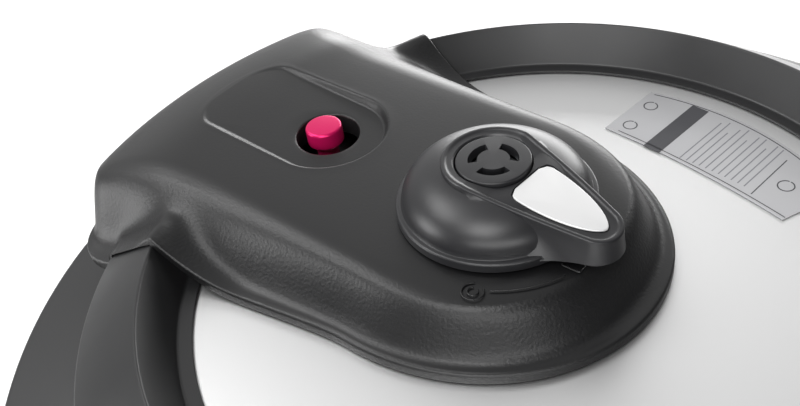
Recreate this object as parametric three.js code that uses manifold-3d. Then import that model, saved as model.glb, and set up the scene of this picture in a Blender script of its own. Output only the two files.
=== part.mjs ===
// Electric pressure cooker with a bayonet lid, a removable inner pot and a front control panel.
// Millimetres, +Z up. The origin is on the table under the cooker's axis, the control panel faces -Y
// and the grip end of the lid handle points to +Y.
import * as THREE from 'three';
import { mergeVertices } from 'three/addons/utils/BufferGeometryUtils.js';
import Module from 'manifold-3d';

const wasm = await Module();
wasm.setup();

// ---------------------------------------------------------------- driving dimensions
const gap = 0.3; // assembly clearance between pieces that rest on each other
const runGap = 0.8; // clearance round pieces that move
const facets = 36; // facets of every large turned piece

const footHeight = 8;
const footRadius = 11;
const footInset = 42; // feet's circle inside the shell
const baseHeight = 24;
const baseWall = 2.4;
const shellWall = 1.2;
const insulation = 42; // room between the pot and the shell
const rimOverhang = 6;
const rimWall = 3;
const rimSkirt = 19;

const chamberFloor = 70; // underside of the cooking chamber above the table
const chamberWall = 1.5;
const heaterHeight = 24;
const heaterInset = 26; // heating plate's edge inside the pot's wall
const sensorRadius = 11;

const potRadius = 110; // inside
const potWall = 2;
const potHeight = 160;
const potFlange = 8;
const potCorner = 22;

const lockLugs = 8;
const lidLugAngle = 20;
const housingLugAngle = 21;
const lidLugReach = 6;
const lidSheet = 2;
const sealHeight = 7.6;
const lidHeight = 27; // lid cover plate's top above the pot's rim
const plateInset = 14.1; // the cover plate's visible edge inside the pot's wall
const bezelFoot = 4.2;
const bezelInnerSlope = 12.2; // across, from the plate to the crease
const bezelCrease = 13.5; // crease above the cover plate
const bezelReach = 18.7; // bezel's outer edge outside the pot's wall
const bezelSkirt = 12.5;
const bezelWall = 2;

const handleTop = 18; // handle's top face above the cover plate
const handleRise = 0.012; // slope of the top face towards the grip
const handleWall = 2.6;
const handleRoof = 4.5;
const handleEnd = -8; // lowest edge of the grip end
const lipHeight = 4.2;
const recessHalfWidth = 19.5;
const recessDepth = 2.5;

const valveY = 12.45;
const valveRest = -3.5; // pointer's angle from -Y at the sealing mark, degrees
const ventPipeRadius = 4.5;
const knobRadius = 27.9;
const knobDomeRadius = 26.1;
const knobHeight = 15.4;
const knobWall = 2;
const capRadius = 10.3;
const pointerReach = 40;
const pointerSlope = 0.175;
const floatInset = 18.5; // float valve's axis inside the cover plate's visible edge
const floatHoleOffset = 1.4; // the hole's centre is nearer the valve than the stem
const floatHeadRadius = 5.8;
const floatStemRadius = 3.5;
const floatHole = 10;
const floatTravel = 4;

const panelHalfWidth = 62;
const panelProud = 12; // beyond the rim
const panelBottom = 64;
const panelHeight = 168;
const buttonProud = 0.8;
const buttonTravel = 1;
const buttonWidth = 26;
const buttonHeight = 11;
const sideHandleProud = 25; // beyond the rim
const sideHandleThickness = 22;
const cupHalfWidth = 30;
const cupHeight = 46;
const cupWall = 1.8;
const inletHalfWidth = 13;
const inletHalfHeight = 10;
const inletDepth = 17;

// ---------------------------------------------------------------- heights and radii that follow
const shellRadius = potRadius + potWall + insulation;
const rimRadius = shellRadius + rimOverhang;
const footCircle = shellRadius - footInset;
const heaterRadius = potRadius - heaterInset;
const sideHandleReach = rimRadius + sideHandleProud;
const panelReach = rimRadius + panelProud;
const coverPlateRadius = potRadius + potWall - plateInset;
const bezelCreaseRadius = coverPlateRadius + bezelInnerSlope;
const bezelRadius = potRadius + potWall + bezelReach;
const floatY = coverPlateRadius - floatInset;
const baseTop = footHeight + baseHeight;
const heaterTop = chamberFloor + chamberWall + heaterHeight;
const potBottom = heaterTop + gap;
const potTop = potBottom + potHeight;
const potOuter = potRadius + potWall;
const flangeRadius = potRadius + potWall + potFlange;
const chamberRadius = flangeRadius - 2;
const shoulder = potTop - 3.7 - gap; // the pot's flange rests on it
const lugRadius = flangeRadius + 0.5; // housing lugs reach in to here
const lidDiscRadius = lugRadius - 1;
const collarRadius = lidDiscRadius + lidLugReach + 1;
const sealBottom = potTop + gap + 0.1;
const plateBottom = sealBottom + sealHeight + gap;
const lugBottom = plateBottom + lidSheet + 2.2;
const lugThickness = 3.5;
const collarTop = lugBottom + lugThickness + 2;
const lidZ = potTop + lidHeight; // top of the steel cover plate
const rimZ = lidZ - 15;
const domeRise = 4;
const domeTop = plateBottom + domeRise + lidSheet;
const sideReach = panelReach + buttonProud;

// ---------------------------------------------------------------- materials
const finish = (color, roughness, metalness) => new THREE.MeshStandardMaterial({ color, roughness, metalness });
const blackPlastic = finish(0x2b2b2c, 0.5, 0);
const glossBlack = finish(0x101012, 0.15, 0);
const rimPlastic = finish(0x242425, 0.55, 0);
const steel = finish(0xcfcfcf, 0.3, 1);
const aluminium = finish(0xb9babc, 0.4, 1);
const silver = finish(0xcfcfcf, 0.35, 0.6);
const magenta = finish(0xc8145a, 0.3, 0.8);
const rubber = finish(0x1c1c1c, 0.85, 0);
const silicone = finish(0xdedfe0, 0.6, 0);
const board = finish(0x1f5c3a, 0.6, 0);
const paper = finish(0xd0d0d2, 0.5, 0);
const warmWhite = finish(0xe6e4dc, 0.5, 0);

// ---------------------------------------------------------------- building helpers
const cooker = new THREE.Group();
const lid = new THREE.Group();
lid.position.z = lidZ; // lid pieces are measured from the cover plate's top
cooker.add(lid);

const degrees = Math.PI / 180;

function place(name, geometry, material, group = cooker) {
  const mesh = new THREE.Mesh(geometry, material);
  mesh.name = name;
  group.add(mesh);
  return mesh;
}

function solid(geometry) {
  const bare = geometry.clone();
  bare.deleteAttribute('normal');
  bare.deleteAttribute('uv');
  const merged = mergeVertices(bare.index ? bare.toNonIndexed() : bare, 1e-4);
  return new wasm.Manifold(
    new wasm.Mesh({
      numProp: 3,
      vertProperties: new Float32Array(merged.attributes.position.array),
      triVerts: new Uint32Array(merged.index.array),
    }),
  );
}

function shapeOf(manifold) {
  const mesh = manifold.getMesh();
  const geometry = new THREE.BufferGeometry();
  geometry.setAttribute('position', new THREE.BufferAttribute(new Float32Array(mesh.vertProperties), 3));
  geometry.setIndex(new THREE.BufferAttribute(new Uint32Array(mesh.triVerts), 1));
  geometry.computeVertexNormals();
  return geometry;
}

const joined = (first, ...rest) => rest.reduce((sum, piece) => sum.add(piece), first);
const cut = (first, ...rest) => rest.reduce((left, tool) => left.subtract(tool), first);

// A turned piece from [radius, height] points, listed up the outside and back down the inside.
function turned(points, segments = facets) {
  const profile = points.map(([r, z]) => new THREE.Vector2(r, z));
  const closesOnAxis = points[0][0] === 0 && points[points.length - 1][0] === 0;
  if (!closesOnAxis) profile.push(profile[0].clone());
  return new THREE.LatheGeometry(profile, segments).rotateX(Math.PI / 2);
}

function rod(radius, low, high, x = 0, y = 0, segments = 12) {
  return new THREE.CylinderGeometry(radius, radius, high - low, segments)
    .rotateX(Math.PI / 2)
    .translate(x, y, (low + high) / 2);
}

function block(x0, x1, y0, y1, z0, z1) {
  return new THREE.BoxGeometry(x1 - x0, y1 - y0, z1 - z0).translate((x0 + x1) / 2, (y0 + y1) / 2, (z0 + z1) / 2);
}

function extruded(shape, low, high, curveSegments = 8) {
  return new THREE.ExtrudeGeometry(shape, { depth: high - low, bevelEnabled: false, curveSegments }).translate(0, 0, low);
}

// A slice of a ring between two radii, centred on an angle in degrees.
function ringSector(inner, outer, centre, width, low, high) {
  const from = (centre - width / 2) * degrees;
  const to = (centre + width / 2) * degrees;
  const shape = new THREE.Shape();
  shape.absarc(0, 0, outer, from, to, false);
  shape.absarc(0, 0, inner, to, from, true);
  return extruded(shape, low, high, 2);
}

function roundedRect(halfX, halfY, radius) {
  const shape = new THREE.Shape();
  shape.absarc(halfX - radius, -halfY + radius, radius, -Math.PI / 2, 0, false);
  shape.absarc(halfX - radius, halfY - radius, radius, 0, Math.PI / 2, false);
  shape.absarc(-halfX + radius, halfY - radius, radius, Math.PI / 2, Math.PI, false);
  shape.absarc(-halfX + radius, -halfY + radius, radius, Math.PI, Math.PI * 1.5, false);
  return shape;
}

// A rounded block standing behind the XZ plane, from y0 to y1.
function uprightBlock(halfX, centreZ, halfZ, radius, y0, y1, curveSegments = 2) {
  return extruded(roundedRect(halfX, halfZ, radius), 0, y1 - y0, curveSegments)
    .rotateX(Math.PI / 2)
    .translate(0, y1, centreZ);
}

class Helix extends THREE.Curve {
  constructor(radius, low, high, turns) {
    super();
    Object.assign(this, { radius, low, high, turns });
  }
  getPoint(t, target = new THREE.Vector3()) {
    const angle = t * this.turns * 2 * Math.PI;
    const z = this.low + (this.high - this.low) * t;
    return target.set(this.radius * Math.cos(angle), this.radius * Math.sin(angle), z);
  }
}

function coilSpring(radius, wire, low, high, turns) {
  const section = new THREE.Shape();
  section.absarc(0, 0, wire, 0, 2 * Math.PI, false);
  return new THREE.ExtrudeGeometry(section, {
    steps: Math.round(turns * 8),
    curveSegments: 2,
    bevelEnabled: false,
    extrudePath: new Helix(radius, low + wire, high - wire, turns),
  });
}

const onCircle = (radius, angle) => [radius * Math.cos(angle * degrees), radius * Math.sin(angle * degrees)];

// ---------------------------------------------------------------- base, feet and base screws
const baseScrewCircle = shellRadius - 18;
const baseScrewAngles = [30, 150, 270];
const baseTopRadius = shellRadius;
const baseFootRadius = shellRadius - 8;
const shellFlangeInner = baseScrewCircle - 8;

function baseCover() {
  let pan = solid(
    turned([
      [0, footHeight],
      [baseFootRadius - 4, footHeight],
      [baseFootRadius, footHeight + 4],
      [baseTopRadius, baseTop - gap],
      [baseTopRadius - baseWall, baseTop - gap],
      [baseFootRadius - baseWall, footHeight + 5],
      [baseFootRadius - 5, footHeight + baseWall],
      [0, footHeight + baseWall],
    ]),
  );
  for (const angle of baseScrewAngles) {
    const [x, y] = onCircle(baseScrewCircle, angle);
    pan = pan.add(solid(rod(5.5, footHeight + 1, baseTop - gap, x, y, 12)));
    pan = pan.subtract(solid(rod(2.1, footHeight - 1, baseTop + 1, x, y, 12)));
    pan = pan.subtract(solid(rod(4, footHeight - 1, footHeight + 6, x, y, 12)));
  }
  for (const slotX of [-48, -32, -16, 16, 32, 48]) {
    pan = pan.subtract(solid(block(slotX - 2.5, slotX + 2.5, -28, 28, footHeight - 1, footHeight + 4)));
  }
  for (const [x, y] of boardPosts) {
    pan = pan.add(solid(rod(3, footHeight + 1, boardZ - gap, x, y, 12)));
  }
  return shapeOf(pan);
}

const boardZ = footHeight + baseWall + 7;
const boardPosts = [
  [-58, 42],
  [58, 42],
  [-58, 84],
  [58, 84],
];
place('base_cover', baseCover(), blackPlastic);

const baseScrew = joined(solid(rod(3.6, 0, 2.2, 0, 0, 12)), solid(rod(1.8, 1, baseHeight, 0, 0, 12)));
baseScrewAngles.forEach((angle, index) => {
  const [x, y] = onCircle(baseScrewCircle, angle);
  const screw = place(`base_screw_${index + 1}`, shapeOf(baseScrew), steel);
  screw.position.set(x, y, footHeight + 3.4);
});

const footProfile = [
  [0, 0],
  [footRadius - 1.5, 0],
  [footRadius, 2],
  [footRadius - 1, footHeight - gap],
  [0, footHeight - gap],
];
for (let index = 0; index < 4; index += 1) {
  const [x, y] = onCircle(footCircle, 45 + 90 * index);
  const foot = place(`foot_${index + 1}`, turned(footProfile, 20), rubber);
  foot.position.set(x, y, 0);
}

// ---------------------------------------------------------------- outer shell with its openings
const inletZ = baseTop + 24;

function bodyShell() {
  let shell = solid(
    turned([
      [shellFlangeInner, baseTop],
      [shellRadius, baseTop],
      [shellRadius, rimZ - 7],
      [shellRadius - shellWall, rimZ - 7],
      [shellRadius - shellWall, baseTop + shellWall],
      [shellFlangeInner, baseTop + shellWall],
    ]),
  );
  for (const angle of baseScrewAngles) {
    const [x, y] = onCircle(baseScrewCircle, angle);
    shell = shell.subtract(solid(rod(2.1, baseTop - 2, baseTop + 4, x, y, 12)));
  }
  const wiring = block(-14, 14, -shellRadius - 5, -shellRadius + 12, panelBottom + 40, panelBottom + 64);
  const inletHole = uprightBlock(
    inletHalfWidth + 2.6,
    inletZ,
    inletHalfHeight + 2.6,
    3,
    shellRadius - 12,
    shellRadius + 6,
  );
  return shapeOf(cut(shell, solid(wiring), solid(inletHole)));
}
place('body_shell', bodyShell(), steel);

// ---------------------------------------------------------------- top rim of the housing
const rimInner = collarRadius + chamberWall + 0.6;
place(
  'top_ring',
  turned([
    [rimInner, shoulder + 2],
    [rimInner + 2.4, shoulder + 2],
    [rimInner + 2.4, rimZ - rimWall - 0.6],
    [rimRadius - 4, rimZ - rimWall - 3.4],
    [rimRadius - 3.4, rimZ - rimSkirt - 3],
    [rimRadius - 1.2, rimZ - rimSkirt - 3],
    [rimRadius, rimZ - rimWall - 2.6],
    [rimRadius - 1.4, rimZ - 3],
    [bezelRadius + 0.6, rimZ],
    [rimInner, rimZ],
  ]),
  rimPlastic,
);

// ---------------------------------------------------------------- cooking chamber with bayonet lugs
const sensorHole = sensorRadius + 2;
const switchX = 52;

function outerPot() {
  let chamber = solid(
    turned([
      [sensorHole, chamberFloor],
      [chamberRadius - 8, chamberFloor],
      [chamberRadius + chamberWall, chamberFloor + 10],
      [chamberRadius + chamberWall, shoulder - chamberWall],
      [collarRadius + chamberWall, shoulder - chamberWall],
      [collarRadius + chamberWall, collarTop],
      [collarRadius, collarTop],
      [collarRadius, shoulder],
      [chamberRadius, shoulder],
      [chamberRadius, chamberFloor + 10 + chamberWall],
      [chamberRadius - 8, chamberFloor + chamberWall],
      [sensorHole, chamberFloor + chamberWall],
    ]),
  );
  for (let lug = 0; lug < lockLugs; lug += 1) {
    const centre = (360 / lockLugs) * (lug + 0.5);
    chamber = chamber.add(
      solid(ringSector(lugRadius, collarRadius + 0.9, centre, housingLugAngle, lugBottom, lugBottom + lugThickness)),
    );
  }
  return shapeOf(chamber);
}
place('outer_pot', outerPot(), aluminium);

function heatingPlate() {
  const low = chamberFloor + chamberWall + 8;
  let plate = solid(
    turned([
      [sensorHole + 3, low],
      [heaterRadius - 3, low],
      [heaterRadius, low + 4],
      [heaterRadius, heaterTop - 3],
      [heaterRadius - 6, heaterTop],
      [sensorHole + 3, heaterTop],
    ]),
  );
  for (let leg = 0; leg < 3; leg += 1) {
    const [x, y] = onCircle(heaterRadius - 16, 90 + 120 * leg);
    plate = plate.add(solid(rod(5, chamberFloor + chamberWall + gap, low + 1, x, y, 12)));
  }
  return shapeOf(plate);
}
place('heating_plate', heatingPlate(), aluminium);

// ---------------------------------------------------------------- sprung temperature sensor
const sensorTop = potBottom - gap;
const sensorSeat = chamberFloor - gap;
place(
  'sensor_bracket',
  turned(
    [
      [3, sensorSeat - 1.5],
      [sensorHole + 6, sensorSeat - 1.5],
      [sensorHole + 6, sensorSeat],
      [3, sensorSeat],
    ],
    24,
  ),
  steel,
);
const sensorSkirt = sensorTop - 14;
place(
  'sensor_cap',
  turned(
    [
      [0, sensorTop - 2],
      [sensorRadius - 2, sensorTop - 2],
      [sensorRadius - 1.2, sensorSkirt],
      [sensorRadius, sensorSkirt],
      [sensorRadius, sensorTop - 1],
      [sensorRadius - 1, sensorTop],
      [0, sensorTop],
    ],
    24,
  ),
  aluminium,
);
place('sensor_spring', coilSpring(sensorRadius - 4.5, 0.8, sensorSeat + gap, sensorTop - 2 - gap, 6), steel);

const switchTop = chamberFloor - gap;
const pressureSwitch = joined(
  solid(rod(10, switchTop - 12, switchTop, switchX, 0, 20)),
  solid(block(switchX - 6, switchX + 6, -4, 4, switchTop - 18, switchTop - 11)),
);
place('pressure_switch', shapeOf(pressureSwitch), warmWhite);
const thermalFuse = joined(
  solid(block(-switchX - 5, -switchX + 5, -7, 7, switchTop - 1.5, switchTop)),
  solid(rod(3, -14, 14, 0, 0, 12).rotateX(Math.PI / 2).translate(-switchX, 0, switchTop - 4)),
);
place('thermal_fuse', shapeOf(thermalFuse), silver);

// ---------------------------------------------------------------- power board on the base
const powerBoard = joined(
  solid(block(-64, 64, 36, 90, boardZ, boardZ + 1.6)),
  solid(block(-50, -22, 44, 66, boardZ + 1, boardZ + 18)),
  solid(block(-6, 16, 46, 62, boardZ + 1, boardZ + 16)),
  solid(rod(7, boardZ + 1, boardZ + 22, 38, 56, 16)),
  solid(block(-54, 54, 76, 84, boardZ + 1, boardZ + 9)),
);
place('power_board', shapeOf(powerBoard), board);

// ---------------------------------------------------------------- control panel on the front
const panelMid = panelBottom + panelHeight / 2;
const panelFaceThickness = 1.8;
const frameFront = -panelReach;
const frameWall = 3;
const buttonRows = [panelBottom + 24, panelBottom + 46, panelBottom + 68];
const buttonColumns = [-26, 26];
const windowHalfWidth = 34;
const windowHalfHeight = 19;
const windowZ = panelBottom + 124;
const wallBack = frameFront + panelFaceThickness + frameWall;

const shellClearance = new THREE.CylinderGeometry(shellRadius + gap, shellRadius + gap, 400, 96)
  .rotateX(Math.PI / 2)
  .translate(0, 0, 150);
const shellSpace = solid(shellClearance);

function buttonHoles(extra, y0, y1) {
  const holes = [];
  for (const z of buttonRows) {
    for (const x of buttonColumns) {
      holes.push(solid(uprightBlock(buttonWidth / 2 + extra, z, buttonHeight / 2 + extra, 3, y0, y1).translate(x, 0, 0)));
    }
  }
  return holes;
}

function panelFrame() {
  const outer = solid(uprightBlock(panelHalfWidth, panelMid, panelHeight / 2, 14, frameFront - 0.6, -shellRadius + 26, 6));
  const faceRecess = uprightBlock(
    panelHalfWidth - 5 + gap,
    panelMid,
    panelHeight / 2 - 5 + gap,
    10,
    frameFront - 5,
    frameFront + panelFaceThickness + gap,
    6,
  );
  const inside = block(
    -panelHalfWidth + 8,
    panelHalfWidth - 8,
    wallBack,
    -shellRadius + 30,
    panelBottom + 8,
    panelBottom + panelHeight - 8,
  );
  const window = uprightBlock(windowHalfWidth - 3, windowZ, windowHalfHeight - 3, 2, frameFront - 5, wallBack + 2);
  return shapeOf(cut(outer, shellSpace, solid(faceRecess), solid(inside), solid(window), ...buttonHoles(0.4, frameFront - 18, frameFront + 22)));
}
place('panel_frame', panelFrame(), blackPlastic);

function panelFace() {
  const face = solid(
    uprightBlock(panelHalfWidth - 5, panelMid, panelHeight / 2 - 5, 10, frameFront, frameFront + panelFaceThickness, 6),
  );
  const window = uprightBlock(
    windowHalfWidth + gap,
    windowZ,
    windowHalfHeight + gap,
    3,
    frameFront - 2,
    frameFront + panelFaceThickness + 2,
  );
  return shapeOf(cut(face, solid(window), ...buttonHoles(0.4, frameFront - 18, frameFront + 22)));
}
place('panel_face', panelFace(), glossBlack);
place(
  'display_window',
  uprightBlock(windowHalfWidth, windowZ, windowHalfHeight, 3, frameFront, frameFront + panelFaceThickness),
  glossBlack,
);

const switchFront = wallBack + 5.3;
const stemEnd = switchFront - buttonTravel - gap;
const button = joined(
  solid(uprightBlock(buttonWidth / 2, 0, buttonHeight / 2, 3, frameFront - buttonProud, wallBack + gap + 0.5)),
  solid(uprightBlock(buttonWidth / 2 + 1.4, 0, buttonHeight / 2 + 1.4, 3, wallBack + gap, wallBack + gap + 1.4)),
  solid(uprightBlock(3, 0, 3, 1, wallBack + gap + 1, stemEnd)),
);
buttonRows.forEach((z, row) => {
  buttonColumns.forEach((x, column) => {
    const mesh = place(`button_${row * buttonColumns.length + column + 1}`, shapeOf(button), silver);
    mesh.position.set(x, 0, z);
  });
});

function controlBoard() {
  const back = switchFront + 1.8;
  let pcb = solid(
    block(-panelHalfWidth + 11, panelHalfWidth - 11, back, back + 1.6, panelBottom + 11, panelBottom + panelHeight - 11),
  );
  for (const z of buttonRows) {
    for (const x of buttonColumns) {
      pcb = pcb.add(solid(block(x - 3.5, x + 3.5, switchFront, back + 0.5, z - 3.5, z + 3.5)));
    }
  }
  const display = block(
    -windowHalfWidth + 5,
    windowHalfWidth - 5,
    wallBack + 1,
    back + 0.5,
    windowZ - windowHalfHeight + 5,
    windowZ + windowHalfHeight - 5,
  );
  return shapeOf(pcb.add(solid(display)));
}
place('control_board', controlBoard(), board);

// ---------------------------------------------------------------- side handles
const sideHandleZ = rimZ - rimSkirt - 6 - sideHandleThickness;
const fingerInner = shellRadius + 7;
const fingerOuter = sideHandleReach - 13;

function sideHandle() {
  const plan = new THREE.Shape();
  const back = shellRadius - 14;
  plan.moveTo(back, -54);
  plan.lineTo(shellRadius + 8, -50);
  plan.quadraticCurveTo(sideHandleReach, -46, sideHandleReach, -24);
  plan.lineTo(sideHandleReach, 24);
  plan.quadraticCurveTo(sideHandleReach, 46, shellRadius + 8, 50);
  plan.lineTo(back, 54);
  const grip = solid(extruded(plan, sideHandleZ, sideHandleZ + sideHandleThickness, 6));
  const fingers = extruded(
    roundedRect((fingerOuter - fingerInner) / 2, 34, 5),
    sideHandleZ - 2,
    sideHandleZ + sideHandleThickness + 2,
    4,
  ).translate((fingerInner + fingerOuter) / 2, 0, 0);
  return cut(grip, solid(fingers), shellSpace);
}
const rightGrip = sideHandle();
place('side_handle_right', shapeOf(rightGrip), blackPlastic);
place('side_handle_left', shapeOf(rightGrip).rotateZ(Math.PI), blackPlastic);

// ---------------------------------------------------------------- power inlet at the rear
const inletFace = shellRadius + 2.4;
function powerInlet() {
  const flange = uprightBlock(inletHalfWidth + 6, inletZ, inletHalfHeight + 6, 4, shellRadius + gap, inletFace);
  const body = uprightBlock(
    inletHalfWidth + 1.8,
    inletZ,
    inletHalfHeight + 1.8,
    3,
    inletFace - inletDepth - 3,
    inletFace - 0.5,
  );
  const socket = uprightBlock(inletHalfWidth, inletZ, inletHalfHeight, 2, inletFace - inletDepth, inletFace + 2);
  let inlet = cut(joined(solid(flange), solid(body)), solid(socket));
  for (const [x, z] of inletPins) {
    inlet = inlet.subtract(
      solid(block(x - 1.4, x + 1.4, inletFace - inletDepth - 5, inletFace - inletDepth + 2, z - 2.4, z + 2.4)),
    );
  }
  return shapeOf(inlet);
}
const inletPins = [
  [-7, inletZ - 2],
  [0, inletZ + 3],
  [7, inletZ - 2],
];
place('power_inlet', powerInlet(), blackPlastic);

const pinBus = inletFace - inletDepth - 3 - gap;
const inletContacts = joined(
  solid(block(-10, 10, pinBus - 3, pinBus, inletZ - 6, inletZ + 7)),
  ...inletPins.map(([x, z]) => solid(block(x - 1, x + 1, pinBus - 1, inletFace - 7, z - 2, z + 2))),
);
place('inlet_pins', shapeOf(inletContacts), aluminium);

// ---------------------------------------------------------------- condensation cup and its bracket
const cupBottom = panelBottom + 90;
const cupTop = cupBottom + cupHeight;
const cupBack = shellRadius + 4.2;
const railGap = 0.6;
const cupLedge = 3;

function cupBracket() {
  const back = solid(
    block(-cupHalfWidth - 7, cupHalfWidth + 7, shellRadius - 14, cupBack - runGap, cupBottom - 2, cupTop + 4),
  );
  const rails = [-1, 1].map((side) => {
    const ends = [side * (cupHalfWidth + railGap), side * (cupHalfWidth + 7)].sort((a, b) => a - b);
    const rail = block(ends[0], ends[1], shellRadius - 6, sideReach - 3, cupTop - 9, cupTop + 4);
    const inner = [side * (cupHalfWidth - 4), side * (cupHalfWidth + cupLedge + railGap)].sort((a, b) => a - b);
    const groove = block(
      inner[0],
      inner[1],
      cupBack - 0.6,
      sideReach + 4,
      cupTop - 4 - railGap,
      cupTop - 1 + railGap,
    );
    return solid(rail).subtract(solid(groove));
  });
  return shapeOf(cut(joined(back, ...rails), shellSpace));
}
place('cup_bracket', cupBracket(), blackPlastic);

function condensationCup() {
  const outside = block(-cupHalfWidth, cupHalfWidth, cupBack, sideReach, cupBottom, cupTop);
  const ledge = block(
    -cupHalfWidth - cupLedge,
    cupHalfWidth + cupLedge,
    cupBack,
    sideReach - 4,
    cupTop - 4,
    cupTop - 1,
  );
  const inside = block(
    -cupHalfWidth + cupWall,
    cupHalfWidth - cupWall,
    cupBack + cupWall,
    sideReach - cupWall,
    cupBottom + cupWall,
    cupTop + 5,
  );
  return shapeOf(cut(joined(solid(outside), solid(ledge)), solid(inside)));
}
place('condensation_cup', condensationCup(), finish(0x9fa4a8, 0.2, 0));

// ---------------------------------------------------------------- inner pot
place(
  'inner_pot',
  turned([
    [0, potBottom],
    [potOuter - potCorner, potBottom],
    [potOuter - potCorner * 0.3, potBottom + potCorner * 0.3],
    [potOuter, potBottom + potCorner],
    [potOuter, potTop - 3.7],
    [flangeRadius, potTop - 3.7],
    [flangeRadius, potTop - 1.2],
    [flangeRadius - 1.5, potTop],
    [potRadius + 2.5, potTop],
    [potRadius, potTop - 3],
    [potRadius, potBottom + potCorner],
    [potRadius - potCorner * 0.3 + 0.6, potBottom + potCorner * 0.3 + 1.4],
    [potRadius - potCorner + 2, potBottom + potWall],
    [0, potBottom + potWall],
  ]),
  aluminium,
);

// ---------------------------------------------------------------- sealing ring and its support
const sealOuter = lidDiscRadius - 2;
const sealInner = sealOuter - 12;
place(
  'sealing_ring',
  turned([
    [sealInner + 3, sealBottom + 1.2],
    [sealInner, sealBottom],
    [sealOuter - 1, sealBottom],
    [sealOuter, sealBottom + 1],
    [sealOuter, sealBottom + sealHeight],
    [sealInner + 2, sealBottom + sealHeight],
    [sealInner + 2, sealBottom + sealHeight - 1.8],
    [sealOuter - 3, sealBottom + sealHeight - 1.8],
    [sealOuter - 3, sealBottom + 2],
  ]),
  silicone,
);
const supportWire = 1.5;
const supportRing = new THREE.TorusGeometry(sealOuter - 3 - supportWire - gap, supportWire, 6, facets);
place('seal_support_ring', supportRing.translate(0, 0, sealBottom + 2 + supportWire + gap), steel);

// ---------------------------------------------------------------- lid: pressure plate with lugs
const screwX = 30;
const screwY = 58;
const inLid = (z) => z - lidZ; // from the table's frame to the lid group's

function pressurePlate() {
  const low = inLid(plateBottom);
  let plate = solid(
    turned([
      [0, low + domeRise],
      [coverPlateRadius, low + domeRise],
      [coverPlateRadius + 5, low],
      [lidDiscRadius, low],
      [lidDiscRadius, low + lidSheet],
      [coverPlateRadius + 6, low + lidSheet],
      [coverPlateRadius + 1, low + domeRise + lidSheet],
      [0, low + domeRise + lidSheet],
    ]),
  );
  for (let lug = 0; lug < lockLugs; lug += 1) {
    const centre = (360 / lockLugs) * lug;
    plate = plate.add(
      solid(ringSector(lidDiscRadius - 2, lidDiscRadius + lidLugReach, centre, lidLugAngle, low, low + lidSheet)),
    );
  }
  return shapeOf(cut(plate, ...lidHoles(low - 2, low + domeRise + lidSheet + 3)));
}

function lidHoles(low, high) {
  return [
    solid(rod(ventPipeRadius + gap, low, high, 0, valveY, 20)),
    solid(rod(floatStemRadius + runGap, low, high, 0, floatY, 20)),
    solid(rod(2.3, low, high, screwX, screwY, 12)),
    solid(rod(2.3, low, high, -screwX, screwY, 12)),
  ];
}
place('lid_pressure_plate', pressurePlate(), steel, lid);

// ---------------------------------------------------------------- lid: steel cover plate and bezel
const plateEdge = coverPlateRadius + 2.6;
function coverPlate() {
  const disc = solid(new THREE.CylinderGeometry(plateEdge, plateEdge, 1, facets).rotateX(Math.PI / 2).translate(0, 0, -0.5));
  return shapeOf(cut(disc, ...lidHoles(-3, 3)));
}
place('lid_cover_plate', coverPlate(), steel, lid);

const bezelFootRadius = coverPlateRadius + bezelFoot;
const bezelStand = inLid(plateBottom + lidSheet) + gap;
const standRadius = (bezelCreaseRadius + lidDiscRadius) / 2;
const lockRodZ = inLid(domeTop) + 5.8;
const lockRodRadius = 2.5;

// Height of the lid's outside above the cover plate at a radius, without the drop past the bezel.
function lidSurface(radius) {
  if (radius < coverPlateRadius) return 0;
  if (radius < bezelFootRadius) return 1;
  if (radius < bezelCreaseRadius) {
    const share = (radius - bezelFootRadius) / (bezelCreaseRadius - bezelFootRadius);
    return 1 + share * (bezelCrease - 1);
  }
  return (bezelCrease * (bezelRadius - radius)) / (bezelRadius - bezelCreaseRadius);
}

function lidBezel() {
  const fallSlope = bezelCrease / (bezelRadius - bezelCreaseRadius);
  const under = bezelWall * Math.hypot(1, fallSlope);
  const underside = (radius) => lidSurface(radius) - under;
  const ring = solid(
    turned([
      [coverPlateRadius, gap],
      [bezelFootRadius + 1.4, gap],
      [bezelCreaseRadius - 0.2, bezelCrease - under - 0.6],
      [standRadius - 1, underside(standRadius - 1)],
      [standRadius - 1, bezelStand],
      [standRadius + 1, bezelStand],
      [standRadius + 1, underside(standRadius + 1)],
      [bezelRadius - bezelWall + 0.2, underside(bezelRadius - bezelWall + 0.2)],
      [bezelRadius - bezelWall + 0.4, -bezelSkirt],
      [bezelRadius, -bezelSkirt],
      [bezelRadius, 0],
      [bezelCreaseRadius, bezelCrease],
      [bezelFootRadius, 1],
      [coverPlateRadius, 1],
    ]),
  );
  const rodHole = rod(lockRodRadius + 0.7, 90, bezelRadius - 5, 0, 0, 12).rotateX(-Math.PI / 2).translate(0, 0, lockRodZ);
  return shapeOf(ring.subtract(solid(rodHole)));
}
place('lid_bezel', lidBezel(), blackPlastic, lid);

// ---------------------------------------------------------------- lid: label on the cover plate
function lidLabel() {
  const outer = coverPlateRadius - 6.2;
  const [startX, startY] = onCircle(outer, 9);
  const [endX, endY] = onCircle(outer, -38);
  const outline = new THREE.Shape();
  outline.moveTo(65.3, 17.1);
  outline.quadraticCurveTo(62.5, -17.2, 51.5, -52);
  outline.lineTo(endX, endY);
  outline.absarc(0, 0, outer, -38 * degrees, 9 * degrees, false);
  outline.lineTo(startX, startY);
  return extruded(outline, 0.15, 0.4, 12);
}
place('lid_label', lidLabel(), paper, lid);

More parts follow.
